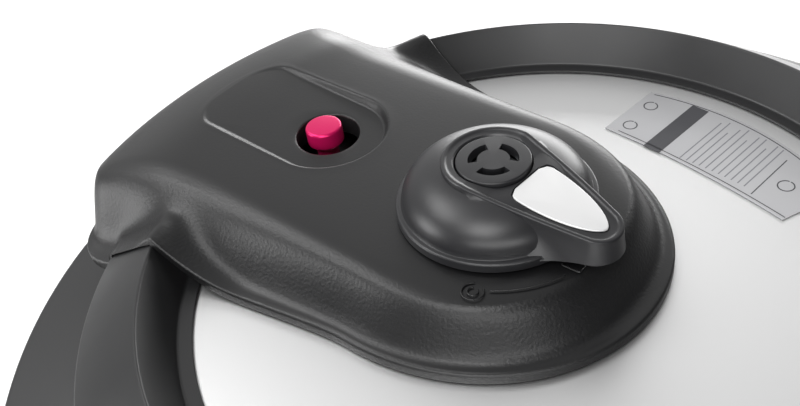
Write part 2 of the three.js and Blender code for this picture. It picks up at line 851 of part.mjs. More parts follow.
// ---------------------------------------------------------------- lid: handle cover
// Each outline of the handle is a half: a superellipse round the tip, a side that widens towards
// the grip, a rounded corner and an arc round the lid's axis. h runs from the ridge of the top
// face (0) to the lip (1).
const tipCentre = 14;
const ridgeLine = { tip: 37, bulge: 2.3, half: 38.8, widen: 10, cornerX: 57, cornerR: bezelRadius + 6.9 };
const lipLine = { tip: 52, bulge: 2.15, half: 55.5, widen: 13.5, cornerX: 71.5, cornerR: bezelRadius + 14.8 };
const widenLength = 40;
const flareStart = 88;
const cornerLength = 12;
const tipSteps = 9;
const sideSteps = 11;
const cornerSteps = 3;
const endSteps = 3;

function sideHalfWidth(line, y) {
  const cornerY = Math.sqrt(line.cornerR ** 2 - line.cornerX ** 2);
  const plain = (at) => line.half + line.widen * (1 - Math.exp(-(at - tipCentre) / widenLength));
  const flare = line.cornerX - plain(cornerY);
  return plain(y) + flare * (Math.max(0, y - flareStart) / (cornerY - flareStart)) ** 2;
}

// The half outline's points from the tip (0, -y) to the middle of the grip end (0, +y).
function halfOutline(line) {
  const points = [];
  for (let step = 0; step <= tipSteps; step += 1) {
    const turn = ((1 - step / tipSteps) * Math.PI) / 2;
    const back = Math.sin(turn) ** (2 / line.bulge);
    const out = Math.max(0, Math.cos(turn)) ** (2 / line.bulge);
    points.push([line.half * (step === 0 ? 0 : out), tipCentre - line.tip * back]);
  }
  const cornerY = Math.sqrt(line.cornerR ** 2 - line.cornerX ** 2);
  const sideEnd = cornerY - cornerLength;
  for (let step = 1; step <= sideSteps; step += 1) {
    const y = tipCentre + ((sideEnd - tipCentre) * step) / sideSteps;
    points.push([sideHalfWidth(line, y), y]);
  }
  const before = [sideHalfWidth(line, sideEnd), sideEnd];
  const endAngle = Math.asin((line.cornerX - cornerLength) / line.cornerR);
  const after = [line.cornerR * Math.sin(endAngle), line.cornerR * Math.cos(endAngle)];
  for (let step = 1; step <= cornerSteps; step += 1) {
    const t = step / cornerSteps;
    const corner = [line.cornerX, cornerY];
    points.push(before.map((value, axis) => (1 - t) ** 2 * value + 2 * t * (1 - t) * corner[axis] + t * t * after[axis]));
  }
  for (let step = 1; step <= endSteps; step += 1) {
    const angle = endAngle * (1 - step / endSteps);
    points.push([line.cornerR * Math.sin(angle), line.cornerR * Math.cos(angle)]);
  }
  return points;
}

const ridgePoints = halfOutline(ridgeLine);
const lipPoints = halfOutline(lipLine);

// The whole ring at h, counter-clockwise from above, starting at the tip.
function ringAt(h) {
  const right = ridgePoints.map(([x, y], index) => {
    const [lipX, lipY] = lipPoints[index];
    return [x + (lipX - x) * h, y + (lipY - y) * h];
  });
  const left = right.slice(1, -1).map(([x, y]) => [-x, y]).reverse();
  return [...right, ...left];
}

const topFace = (y) => handleTop + handleRise * (y + 23);
const flankDrop = 25;
const ridgeRound = 0.09;
const lipBlend = 3;
const lipWrap = 3.5; // slope of the lip where it turns down over the bezel's edge
const lipFade = 12; // the lip sinks away towards the top face

// The handle's outside: the sloping flank, blended by a smooth maximum into the lip on the lid.
function handleHeight(x, y, h) {
  const flank = topFace(y) - (flankDrop * (h + Math.hypot(h, ridgeRound))) / 2;
  const radius = Math.hypot(x, y);
  const wrap = lipWrap * Math.max(0, radius - bezelRadius);
  const inwards = lipFade * (1 - THREE.MathUtils.smoothstep(h, -0.3, 0.6));
  const lip = Math.max(lidSurface(Math.min(radius, bezelRadius)) + lipHeight - wrap - inwards, handleEnd);
  const sum = flank + lip;
  const difference = flank - lip;
  return Math.max((sum + Math.hypot(difference, lipBlend)) / 2, handleEnd + 0.5);
}

// A closed body from rings of equal length and two closing points.
function stackedRings(rings, topPoint, bottomPoint) {
  const count = rings[0].length;
  const vertices = [topPoint, ...rings.flat(), bottomPoint];
  const last = vertices.length - 1;
  const index = [];
  for (let i = 0; i < count; i += 1) {
    const next = (i + 1) % count;
    index.push(0, 1 + i, 1 + next);
    for (let ring = 0; ring + 1 < rings.length; ring += 1) {
      const upper = 1 + ring * count;
      const lower = upper + count;
      index.push(upper + i, lower + i, lower + next, upper + i, lower + next, upper + next);
    }
    const bottom = 1 + (rings.length - 1) * count;
    index.push(last, bottom + next, bottom + i);
  }
  const geometry = new THREE.BufferGeometry();
  geometry.setAttribute('position', new THREE.Float32BufferAttribute(vertices.flat(), 3));
  geometry.setIndex(index);
  return geometry;
}

const fanCentre = 60;
const handleRings = [-0.16, -0.02, 0.12, 0.4, 0.7, 1];
const cavityRings = [-0.05, 0.2, 0.5, 0.82];
const wallShare = 0.13;

function handleOutside() {
  const rings = handleRings.map((h) => ringAt(h).map(([x, y]) => [x, y, handleHeight(x, y, h)]));
  rings.push(ringAt(1).map(([x, y]) => [x, y, handleEnd]));
  return solid(stackedRings(rings, [0, fanCentre, topFace(fanCentre)], [0, fanCentre, handleEnd]));
}

function handleInside(low) {
  const rings = cavityRings.map((h) =>
    ringAt(h).map(([x, y]) => [x, y, Math.min(handleHeight(x, y, h + wallShare) - handleWall, topFace(y) - handleRoof)]),
  );
  const lastRing = cavityRings[cavityRings.length - 1];
  rings.push(ringAt(lastRing).map(([x, y]) => [x, y, low]));
  return solid(stackedRings(rings, [0, fanCentre, topFace(fanCentre) - handleRoof], [0, fanCentre, low]));
}

// Everything under the lid's outside, grown by the fitting gap.
function lidEnvelope() {
  return solid(
    turned([
      [0, -40],
      [bezelRadius + 0.6, -40],
      [bezelRadius + 0.6, gap + 0.2],
      [bezelCreaseRadius, bezelCrease + 0.5],
      [bezelFootRadius - 0.3, 1 + 0.4],
      [coverPlateRadius - 0.4, 1 + 0.4],
      [coverPlateRadius - 0.4, gap],
      [0, gap],
    ]),
  );
}

// The sloping U-shaped recess round the float valve, open towards the grip.
function floatRecess() {
  const outline = new THREE.Shape();
  const endY = floatY - 2.5 - floatHoleOffset / 2;
  const openY = bezelRadius - 8.7;
  outline.moveTo(recessHalfWidth, openY);
  outline.lineTo(-recessHalfWidth, openY);
  outline.absarc(0, endY, recessHalfWidth, Math.PI, 2 * Math.PI, false);
  const tilt = Math.atan2(recessDepth, openY - endY + recessHalfWidth) + Math.atan(handleRise);
  const cutter = extruded(outline, 0, 20, 8).translate(0, -openY, 0).rotateX(tilt).translate(0, openY, topFace(openY));
  return solid(cutter);
}

const gripScrews = [
  [-38, bezelRadius + 0.3],
  [38, bezelRadius + 0.3],
];
const bossRadius = 5;

function handleCover() {
  let cover = handleOutside().subtract(handleInside(handleEnd - 2));
  for (const side of [-1, 1]) {
    cover = cover.add(solid(rod(bossRadius, -2, handleTop - handleRoof + 1, side * screwX, screwY, 12)));
  }
  for (const [x, y] of gripScrews) {
    cover = cover.add(solid(rod(4, handleEnd + 3.4, handleTop - 2, x, y, 12)));
  }
  const toRoof = handleTop - 6;
  const tools = [
    lidEnvelope(),
    floatRecess(),
    solid(rod(floatHole, -5, 40, 0, floatY - floatHoleOffset, 24)),
    solid(rod(ventPipeRadius + 3, -5, 40, 0, valveY, 24)),
    ...[-1, 1].map((side) => solid(rod(2.3, -5, toRoof, side * screwX, screwY, 12))),
    ...gripScrews.map(([x, y]) => solid(rod(1.8, handleEnd - 5, toRoof, x, y, 12))),
  ];
  return shapeOf(cut(cover, ...tools));
}
place('handle_cover', handleCover(), blackPlastic, lid);

// The grip's underside closes the cover's mouth behind the bezel.
function handleBase() {
  const mouth = ringAt(cavityRings[cavityRings.length - 1] - 0.06).map(([x, y]) => new THREE.Vector2(x, y));
  const plug = solid(extruded(new THREE.Shape(mouth), handleEnd + 0.2, handleEnd + 3));
  const lidSpace = solid(rod(bezelRadius + 1.4, -30, 30, 0, 0, 96));
  const screwHoles = gripScrews.flatMap(([x, y]) => [
    solid(rod(1.9, handleEnd - 1, handleEnd + 6, x, y, 12)),
    solid(rod(3.6, handleEnd - 1, handleEnd + 1.6, x, y, 12)),
  ]);
  return shapeOf(cut(plug, lidSpace, ...screwHoles));
}
place('handle_base', handleBase(), blackPlastic, lid);

const gripScrew = joined(solid(rod(3.2, 0, 1.2, 0, 0, 12)), solid(rod(1.5, 1, 16, 0, 0, 12)));
gripScrews.forEach(([x, y], index) => {
  place(`grip_screw_${index + 1}`, shapeOf(gripScrew), steel, lid).position.set(x, y, handleEnd + 0.3);
});

const plateUnder = inLid(plateBottom + domeRise);
const lidScrew = joined(
  solid(rod(4, plateUnder - gap - 2.6, plateUnder - gap, 0, 0, 12)),
  solid(rod(2, plateUnder - 1, 9, 0, 0, 12)),
);
[-1, 1].forEach((side, index) => {
  place(`lid_screw_${index + 1}`, shapeOf(lidScrew), steel, lid).position.set(side * screwX, screwY, 0);
});

// ---------------------------------------------------------------- lid: steam vent
const pipeTop = handleTop + 1;
const knobBottom = topFace(valveY + knobRadius); // the grip side of the knob just clears the top
place(
  'vent_pipe',
  turned(
    [
      [1.6, plateUnder - 6],
      [7, plateUnder - 6],
      [7, plateUnder - gap],
      [ventPipeRadius, plateUnder - gap],
      [ventPipeRadius, pipeTop - 5],
      [3, pipeTop],
      [1.6, pipeTop],
    ],
    24,
  ),
  steel,
  lid,
).position.y = valveY;

const plateOver = inLid(domeTop);
const nutHole = solid(rod(ventPipeRadius + 0.25, plateOver - 2, plateOver + 8, 0, 0, 24));
const nut = cut(solid(rod(8.5, plateOver + gap, plateOver + 5, 0, 0, 6)), nutHole);
place('vent_nut', shapeOf(nut), steel, lid).position.y = valveY;

function antiBlockShield() {
  const top = plateUnder - gap;
  let shield = solid(
    turned(
      [
        [0, top - 9],
        [11, top - 9],
        [13, top - 7.5],
        [13, top],
        [8.5, top],
        [8.5, top - 1],
        [12, top - 1],
        [12, top - 7],
        [10.6, top - 8],
        [0, top - 8],
      ],
      24,
    ),
  );
  for (let slot = 0; slot < 4; slot += 1) {
    const cutter = block(-1.2, 1.2, 3, 15, top - 10, top - 3).rotateZ((slot + 0.5) * 90 * degrees);
    shield = shield.subtract(solid(cutter));
  }
  return shapeOf(shield);
}
place('anti_block_shield', antiBlockShield(), steel, lid).position.y = valveY;

// ---------------------------------------------------------------- lid: steam release valve
const valve = new THREE.Group();
valve.position.set(0, valveY, knobBottom);
valve.rotation.z = valveRest * degrees;
lid.add(valve);

const knobFacets = 28;
const ventPhase = 98.5; // angle of the first vent slot
const capHole = capRadius + 0.35;
const pointerTilt = Math.atan(pointerSlope);
const weightBottom = pipeTop + gap - knobBottom;
const capBottom = knobHeight - 3;
place(
  'valve_weight',
  turned(
    [
      [0, weightBottom + 1.4],
      [1.2, weightBottom + 1.4],
      [4, weightBottom],
      [7, weightBottom],
      [7, capBottom - 1.4],
      [0, capBottom - 1.4],
    ],
    24,
  ),
  steel,
  valve,
);

// The pointer seen from above: a plateau round the vent that tapers to a rounded tip.
function pointerOutline(grow) {
  const outline = new THREE.Shape();
  const tipRadius = 6.2 + grow;
  const tipY = -pointerReach + 6.2;
  const wide = 15 + grow;
  outline.absarc(0, 0, wide, -18 * degrees, 198 * degrees, false);
  outline.quadraticCurveTo(-9.5 - grow, -20, -tipRadius * 0.98, tipY);
  outline.absarc(0, tipY, tipRadius, Math.PI, 2 * Math.PI, false);
  outline.quadraticCurveTo(9.5 + grow, -20, wide * Math.cos(18 * degrees), -wide * Math.sin(18 * degrees));
  return outline;
}

function insertOutline(grow) {
  const outline = new THREE.Shape();
  const half = 7.6 + grow;
  const back = -11.6 + grow;
  const tipY = -32.6;
  const tipRadius = 4 + grow;
  outline.moveTo(half - 3, back);
  outline.lineTo(-half + 3, back);
  outline.quadraticCurveTo(-half, back, -half, back - 4);
  outline.lineTo(-tipRadius, tipY);
  outline.absarc(0, tipY, tipRadius, Math.PI, 2 * Math.PI, false);
  outline.lineTo(half, back - 4);
  outline.quadraticCurveTo(half, back, half - 3, back);
  return outline;
}

// Leans a piece drawn flat at the knob's top onto the pointer's slope.
const onSlope = (geometry) => geometry.rotateX(pointerTilt).translate(0, 0, knobHeight);

function valveKnob() {
  const dome = solid(
    turned(
      [
        [knobRadius - knobWall - 0.6, 0],
        [knobRadius, 0],
        [knobRadius, 2.8],
        [knobDomeRadius, 3.8],
        [knobDomeRadius - 1.2, 7.6],
        [knobDomeRadius - 4.4, 11.4],
        [18.2, 14],
        [15, knobHeight],
        [capHole, knobHeight],
        [capHole, knobHeight - 4.4],
        [14, knobHeight - 4.4],
        [knobDomeRadius - 6.2, 9.4],
        [knobDomeRadius - 3.4, 5],
      ],
      knobFacets,
    ),
  );
  const arm = solid(extruded(pointerOutline(0), 1.6, knobHeight, 5));
  const aboveSlope = onSlope(new THREE.BoxGeometry(120, 120, 40).translate(0, 0, 20));
  const arch = new THREE.CylinderGeometry(15, 15, 60, 24).scale(1, 1, 0.42);
  const underArm = arch.rotateZ(Math.PI / 2).translate(0, -27, -1);
  const inner = turned(
    [
      [0, -1],
      [knobRadius - knobWall - 0.6, -1],
      [knobDomeRadius - 3.4, 5],
      [knobDomeRadius - 6.2, 9.4],
      [14, knobHeight - 4.4],
      [0, knobHeight - 4.4],
    ],
    knobFacets,
  );
  const pointer = cut(arm, solid(aboveSlope), solid(underArm), solid(inner));
  const recess = onSlope(extruded(insertOutline(0.25), -0.9, 3, 6));
  const capSpace = rod(capHole, -1, 40, 0, 0, knobFacets);
  return shapeOf(cut(joined(dome, pointer), solid(recess), solid(capSpace)));
}
place('valve_knob', valveKnob(), blackPlastic, valve);
place('valve_insert', onSlope(extruded(insertOutline(0), -0.6, 0.3, 6)), silver, valve);

function valveCap() {
  let cap = solid(rod(capRadius, capBottom, knobHeight, 0, 0, knobFacets));
  for (let slot = 0; slot < 3; slot += 1) {
    cap = cap.subtract(solid(ringSector(4.4, 6.9, ventPhase + 120 * slot, 82, capBottom - 1, knobHeight + 1)));
  }
  return shapeOf(cap);
}
place('valve_cap', valveCap(), blackPlastic, valve);

// ---------------------------------------------------------------- lid: float valve
const floatGuideTop = -1 - gap;
place(
  'float_guide',
  turned(
    [
      [floatStemRadius + runGap, plateOver + gap],
      [7, plateOver + gap],
      [7, floatGuideTop],
      [floatStemRadius + runGap, floatGuideTop],
    ],
    24,
  ),
  aluminium,
  lid,
).position.y = floatY;

const floatTop = 19.8;
const floatSealTop = plateUnder - floatTravel - gap;
place(
  'float_valve',
  turned(
    [
      [0, floatSealTop + gap],
      [floatStemRadius, floatSealTop + gap],
      [floatStemRadius, floatTop - 9],
      [floatHeadRadius, floatTop - 7],
      [floatHeadRadius, floatTop - 0.8],
      [floatHeadRadius - 0.8, floatTop],
      [0, floatTop],
    ],
    24,
  ),
  magenta,
  lid,
).position.y = floatY;
place(
  'float_seal',
  turned(
    [
      [0, floatSealTop - 2.5],
      [5.6, floatSealTop - 2.5],
      [6.4, floatSealTop - 1.2],
      [5.6, floatSealTop],
      [0, floatSealTop],
    ],
    24,
  ),
  silicone,
  lid,
).position.y = floatY;

// ---------------------------------------------------------------- lid: interlock rod
const rodInner = floatY + 7 + 4.2;
const rodOuter = bezelRadius - 7;
const earNear = rodInner + 3;
const earFar = earNear + 12;
const alongY = (geometry) => geometry.rotateX(-Math.PI / 2).translate(0, 0, lockRodZ);
const rodCollar = earFar - gap - 1.5;
const lockRod = joined(
  solid(alongY(rod(lockRodRadius, rodInner, rodOuter, 0, 0, 12))),
  solid(alongY(rod(4.2, rodCollar, rodCollar + 1.5, 0, 0, 12))),
);
place('lock_rod', shapeOf(lockRod), steel, lid);

const earHole = solid(alongY(rod(lockRodRadius + 0.5, earNear - 5, earFar + 5, 0, 0, 12)));
const bracket = joined(
  solid(block(-6, 6, earNear, earFar + 1.4, plateOver + gap, plateOver + gap + 1)),
  solid(block(-6, 6, earNear, earNear + 1.4, plateOver + gap, lockRodZ + 4.6)),
  solid(block(-6, 6, earFar, earFar + 1.4, plateOver + gap, lockRodZ + 4.6)),
);
place('lock_bracket', shapeOf(cut(bracket, earHole)), steel, lid);

const lockSpring = coilSpring(lockRodRadius + 1.1, 0.45, earNear + 1.4 + gap, rodCollar - gap, 5);
place('lock_spring', alongY(lockSpring), steel, lid);

export default cooker;
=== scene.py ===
"""Looks of an electric pressure cooker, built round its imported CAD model.

Sizes in the sections are millimetres in the cooker's own frame, and make() turns them to metres.
"""
import math

import bmesh
import bpy
import numpy as np
from mathutils import Matrix, Vector


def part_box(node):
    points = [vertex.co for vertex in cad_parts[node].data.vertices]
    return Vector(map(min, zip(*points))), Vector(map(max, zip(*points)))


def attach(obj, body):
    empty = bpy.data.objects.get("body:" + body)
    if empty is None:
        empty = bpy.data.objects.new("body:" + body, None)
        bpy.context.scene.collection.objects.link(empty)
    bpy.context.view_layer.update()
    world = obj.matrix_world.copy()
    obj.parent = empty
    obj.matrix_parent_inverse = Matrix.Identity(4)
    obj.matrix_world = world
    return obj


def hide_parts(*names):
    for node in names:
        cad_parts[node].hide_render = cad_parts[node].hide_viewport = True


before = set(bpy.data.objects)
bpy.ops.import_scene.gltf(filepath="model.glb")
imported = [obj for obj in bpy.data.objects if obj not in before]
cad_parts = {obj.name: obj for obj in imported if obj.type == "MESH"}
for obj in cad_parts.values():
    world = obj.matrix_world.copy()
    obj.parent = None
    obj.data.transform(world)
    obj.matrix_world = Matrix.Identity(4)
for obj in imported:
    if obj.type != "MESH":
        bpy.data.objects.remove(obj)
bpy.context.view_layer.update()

# ---- Camera, floor and studio light.
# The camera looks down on the lid from its front left, close up. The floor is a plain pale sheet,
# lit by an overcast sky and soft boxes to the right, above, to the left, in front and behind.


def linear(code):
    """Turns an sRGB hex colour such as "c8145a" to linear RGBA."""
    srgb = np.array([int(code[i:i + 2], 16) for i in (0, 2, 4)]) / 255
    low, high = srgb / 12.92, ((srgb + 0.055) / 1.055) ** 2.4
    return (*np.where(srgb <= 0.04045, low, high), 1.0)


def add(tree, kind, settings=(), links=()):
    """Adds one node; settings are (socket or attribute, value) and links are (socket, source)."""
    made = tree.nodes.new(kind)
    for key, value in settings:
        if isinstance(key, int) or key in made.inputs:
            made.inputs[key].default_value = value
        else:
            setattr(made, key, value)
    for key, source in links:
        tree.links.new(source, made.inputs[key])
    return made


lid_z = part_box("lid_cover_plate")[1].z * 1000
camera_right = Vector((0.64008, -0.75804, -0.12517))
camera_up = Vector((0.55872, 0.34742, 0.75308))
camera_data = bpy.data.cameras.new("camera")
camera_data.sensor_width = 36
camera_data.lens = 42.44
camera_data.clip_start = 0.01
camera = bpy.data.objects.new("camera", camera_data)
bpy.context.scene.collection.objects.link(camera)
camera_axes = Matrix((camera_right, camera_up, camera_right.cross(camera_up))).transposed()
camera_place = Vector((-0.15474, -0.11128, 0.19004 + lid_z / 1000))
camera.matrix_world = Matrix.Translation(camera_place) @ camera_axes.to_4x4()
bpy.context.scene.camera = camera

floor_mesh = bpy.data.meshes.new("floor")
floor_mesh.from_pydata([(-6, -6, 0), (6, -6, 0), (6, 6, 0), (-6, 6, 0)], [], [(0, 1, 2, 3)])
floor = bpy.data.objects.new("floor", floor_mesh)
bpy.context.scene.collection.objects.link(floor)
paper = bpy.data.materials.new("seamless_paper")
paper.use_nodes = True
paper_shader = paper.node_tree.nodes["Principled BSDF"]
paper_shader.inputs["Base Color"].default_value = linear("f6f6f6")
paper_shader.inputs["Roughness"].default_value = 0.8
floor_mesh.materials.append(paper)

world = bpy.data.worlds.new("overcast")
world.use_nodes = True
bpy.context.scene.world = world
sky = world.node_tree
background = sky.nodes["Background"]
direction = add(sky, "ShaderNodeTexCoord").outputs["Generated"]
# The room is bright behind the cooker, towards +X +Y, and dim on the other side.
bright_side = (0.62, 0.66, 0.42)
facing = add(
    sky, "ShaderNodeVectorMath", [("operation", "DOT_PRODUCT"), (1, bright_side)], [(0, direction)],
)
ramp = add(sky, "ShaderNodeValToRGB", links=[("Fac", facing.outputs["Value"])])
ramp.color_ramp.elements[0].position = 0.1
ramp.color_ramp.elements[0].color = linear("2a2a2a")
ramp.color_ramp.elements[1].position = 0.85
ramp.color_ramp.elements[1].color = linear("e0e0e0")
sky.links.new(ramp.outputs["Color"], background.inputs["Color"])
background.inputs["Strength"].default_value = 1.0
bpy.context.scene.view_settings.view_transform = "Standard"


def soft_box(name, place, target, size, watts):
    """A rectangular area light at place, aimed at target, in metres."""
    data = bpy.data.lights.new(name, "AREA")
    data.shape = "RECTANGLE"
    data.size, data.size_y = size
    data.energy = watts
    box = bpy.data.objects.new(name, data)
    bpy.context.scene.collection.objects.link(box)
    aim = (Vector(target) - Vector(place)).to_track_quat("-Z", "Y")
    box.matrix_world = Matrix.Translation(place) @ aim.to_matrix().to_4x4()
    return box


lid_centre = (0, 0, lid_z / 1000)
soft_box("box_right", (1.7, 0.75, 0.5), lid_centre, (1.8, 0.9), 34)
soft_box("box_above", (-0.4, 0.9, 1.5), lid_centre, (0.9, 0.5), 11)
soft_box("box_left", (-0.85, -0.2, 1.6), lid_centre, (0.7, 0.7), 15)
soft_box("box_front", (-0.85, -0.61, 0.65), lid_centre, (1.2, 0.3), 7)
soft_box("box_rear_left", (-1.5, 1.5, 0.6), lid_centre, (0.9, 0.9), 20)

# ---- Housing: rubber feet and base pan.
# Four press-fitted nitrile rubber feet under a pan moulded in black ABS, with vent slots moulded
# through its floor. Three screws hold the pan to the shell.


def rounded(corners, closed=True, steps=6):
    """A profile from (x, y, radius) corners; each corner becomes an arc tangent to its two sides."""
    points = []
    count = len(corners)
    for index, (x, y, radius) in enumerate(corners):
        here = np.array((x, y), float)
        if radius == 0 or (not closed and index in (0, count - 1)):
            points.append(here[None])
            continue
        before = np.array(corners[index - 1][:2], float) - here
        after = np.array(corners[(index + 1) % count][:2], float) - here
        before_length, after_length = np.hypot(*before), np.hypot(*after)
        before, after = before / before_length, after / after_length
        half = math.acos(np.clip(before @ after, -1, 1)) / 2
        reach = min(radius / math.tan(half), 0.49 * before_length, 0.49 * after_length)
        inner = reach * math.tan(half)
        middle = here + (before + after) / np.hypot(*(before + after)) * inner / math.sin(half)
        start, end = here + before * reach - middle, here + after * reach - middle
        turn = math.atan2(start[0] * end[1] - start[1] * end[0], start @ end)
        angle = math.atan2(start[1], start[0]) + turn * np.linspace(0, 1, steps + 1)
        points.append(middle + inner * np.stack((np.cos(angle), np.sin(angle)), 1))
    return np.concatenate(points)


def make(name, points, wrap_rows=True, wrap_columns=True, sharp=38):
    """A mesh from a rows x columns grid of points in mm, each cell one quad, wrapped where asked."""
    rows, columns = points.shape[:2]
    row = np.arange(rows if wrap_rows else rows - 1)
    column = np.arange(columns if wrap_columns else columns - 1)
    a, b = np.meshgrid(row, column, indexing="ij")
    next_a, next_b = (a + 1) % rows, (b + 1) % columns
    cells = ((a, b), (a, next_b), (next_a, next_b), (next_a, b))
    quads = np.stack([i * columns + j for i, j in cells], -1).reshape(-1, 4)
    mesh = bpy.data.meshes.new(name)
    mesh.from_pydata((points.reshape(-1, 3) / 1000).tolist(), [], quads.tolist())
    return tidy(name, mesh, sharp)


def tidy(name, mesh, sharp=38):
    """Merges doubles, points faces outwards and smooths all but the sharp edges of a closed mesh."""
    work = bmesh.new()
    work.from_mesh(mesh)
    bmesh.ops.remove_doubles(work, verts=work.verts, dist=2e-6)
    bmesh.ops.dissolve_degenerate(work, edges=work.edges, dist=1e-7)
    bmesh.ops.recalc_face_normals(work, faces=work.faces)
    work.to_mesh(mesh)
    work.free()
    mesh.shade_smooth()
    mesh.set_sharp_from_angle(angle=math.radians(sharp))
    piece = bpy.data.objects.new(name, mesh)
    bpy.context.scene.collection.objects.link(piece)
    return piece


def turned(name, corners, place=(0, 0, 0), segments=160, closed=True, sharp=38):
    """Turns a profile of (radius, height, fillet) corners round a vertical axis through place."""
    profile = rounded(corners, closed)
    angle = np.arange(segments) * 2 * math.pi / segments
    x = profile[:, :1] * np.cos(angle) + place[0]
    y = profile[:, :1] * np.sin(angle) + place[1]
    z = np.broadcast_to(profile[:, 1:] + place[2], x.shape)
    return make(name, np.stack((x, y, z), -1), closed, True, sharp)


def dress(piece, material, body, slot, *nodes):
    """Gives a piece its material and its body, and hides the CAD nodes that it stands for; slot is not used.
    """
    piece.data.materials.clear()
    piece.data.materials.append(material)
    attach(piece, body)
    if nodes:
        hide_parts(*nodes)
    return piece


def finish(name, colour, roughness, metallic=0.0, **constants):
    """A material with its constant values on the shader's own sockets; returns it and its tree."""
    material = bpy.data.materials.new(name)
    material.use_nodes = True
    shader = material.node_tree.nodes["Principled BSDF"]
    shader.inputs["Base Color"].default_value = linear(colour)
    shader.inputs["Roughness"].default_value = roughness
    shader.inputs["Metallic"].default_value = metallic
    for socket, value in constants.items():
        shader.inputs[socket.replace("_", " ")].default_value = value
    return material, material.node_tree, shader


def object_place(tree):
    """The point being shaded, in metres in the piece's own frame."""
    return add(tree, "ShaderNodeTexCoord").outputs["Object"]


def noise(tree, place, scale, detail):
    """A noise pattern with scale cells to the metre."""
    settings = [("Scale", scale), ("Detail", detail)]
    return add(tree, "ShaderNodeTexNoise", settings, [("Vector", place)]).outputs["Fac"]


def bumped(tree, shader, height, strength, depth_mm):
    """Raises the surface's shading by a pattern of a given depth; returns the bump node."""
    settings = [("Strength", strength), ("Distance", depth_mm / 1000)]
    bump = add(tree, "ShaderNodeBump", settings, [("Height", height)])
    tree.links.new(bump.outputs["Normal"], shader.inputs["Normal"])
    return bump


def roughened(tree, shader, pattern, low, high, span=(0.0, 1.0)):
    """Varies the roughness from low to high while a pattern goes through its span."""
    settings = [("From Min", span[0]), ("From Max", span[1]), ("To Min", low), ("To Max", high)]
    spread = add(tree, "ShaderNodeMapRange", settings, [("Value", pattern)])
    tree.links.new(spread.outputs["Result"], shader.inputs["Roughness"])


def grained_plastic(name, colour, roughness, grain_mm, depth_mm, metallic=0.0):
    """Moulded plastic: a fine noise bump of the mould's grain and a slight change of roughness."""
    material, tree, shader = finish(name, colour, roughness, metallic, IOR=1.5)
    place = object_place(tree)
    bumped(tree, shader, noise(tree, place, 1000 / grain_mm, 2.0), 0.6, depth_mm)
    mottle = 0.04
    roughened(tree, shader, noise(tree, place, 45.0, 3.0), roughness - mottle, roughness + mottle, (0.3, 0.7))
    return material


def place_of(node):
    """The middle of a CAD node's footprint and its lowest and highest points, in mm."""
    low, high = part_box(node)
    return (low.x + high.x) * 500, (low.y + high.y) * 500, low.z * 1000, high.z * 1000


# Nitrile rubber, press moulded: matt, so it shows only a soft edge light.
nitrile = grained_plastic("nitrile_rubber", "161616", 0.82, 0.9, 0.05)
# ABS for the base: satin black with a coarser grain that hides scuffs.
base_abs = grained_plastic("textured_abs", "1a1a1b", 0.5, 0.8, 0.04)
for index in range(1, 5):
    foot_x, foot_y, foot_low, foot_high = place_of(f"foot_{index}")
    foot_corners = [(0, 0, 0), (9.5, 0, 1), (11, 2, 1), (10, foot_high, 0.5), (0, foot_high, 0)]
    foot = turned(f"rubber_foot_{index}", foot_corners, (foot_x, foot_y, foot_low), 48, closed=False)
    dress(foot, nitrile, "housing", "rubber", f"foot_{index}")


def carve(piece, tool, operation="DIFFERENCE", sharp=38):
    """Cuts, or joins, a closed tool with a closed piece by Blender's exact boolean."""
    change = piece.modifiers.new("carve", "BOOLEAN")
    change.solver = "EXACT"
    change.operation = operation
    change.object = tool
    bpy.context.view_layer.update()
    shaped = piece.evaluated_get(bpy.context.evaluated_depsgraph_get())
    mesh = bpy.data.meshes.new_from_object(shaped)
    piece.modifiers.clear()
    piece.data = mesh
    mesh.shade_smooth()
    mesh.set_sharp_from_angle(angle=math.radians(sharp))
    bpy.data.objects.remove(tool)
    return piece


def loop(half_x, half_y, radius, steps=8):
    """A rounded rectangle's outline, counter-clockwise, centred on the origin."""
    signs = ((1, -1), (1, 1), (-1, 1), (-1, -1))
    return rounded([(half_x * x, half_y * y, radius) for x, y in signs], steps=steps)


def slab(name, outline, low, high, edge=0.6, flat="xy", place=(0, 0, 0), steps=4):
    """A flat piece: an outline raised from low to high, its rims rounded by quarter circles.

    Each rim's rows shrink the outline along its normals by edge * (1 - cos a) at height
    edge * (1 - sin a). flat names the two axes that the outline lies in.
    """
    ahead = np.roll(outline, -1, 0) - np.roll(outline, 1, 0)
    normal = np.stack((ahead[:, 1], -ahead[:, 0]), 1)
    normal /= np.maximum(np.hypot(*normal.T), 1e-9)[:, None]
    turn = np.linspace(0, math.pi / 2, steps + 1)
    inward = edge * (1 - np.sin(turn))
    rise = edge * (1 - np.cos(turn))
    inset = np.concatenate((inward, inward[::-1]))
    level = np.concatenate((low + rise, high - rise[::-1]))
    rows = outline[None] - normal[None] * inset[:, None, None]
    middle = np.broadcast_to(outline.mean(0), rows[:1].shape)
    rows = np.concatenate((middle, rows, middle))
    level = np.concatenate(([low], level, [high]))
    height = np.broadcast_to(level[:, None], rows.shape[:2])
    first, second = rows[..., 0], rows[..., 1]
    columns = {"xy": (first, second, height), "xz": (first, height, second)}[flat]
    return make(name, np.stack(columns, -1) + np.array(place), False, True)


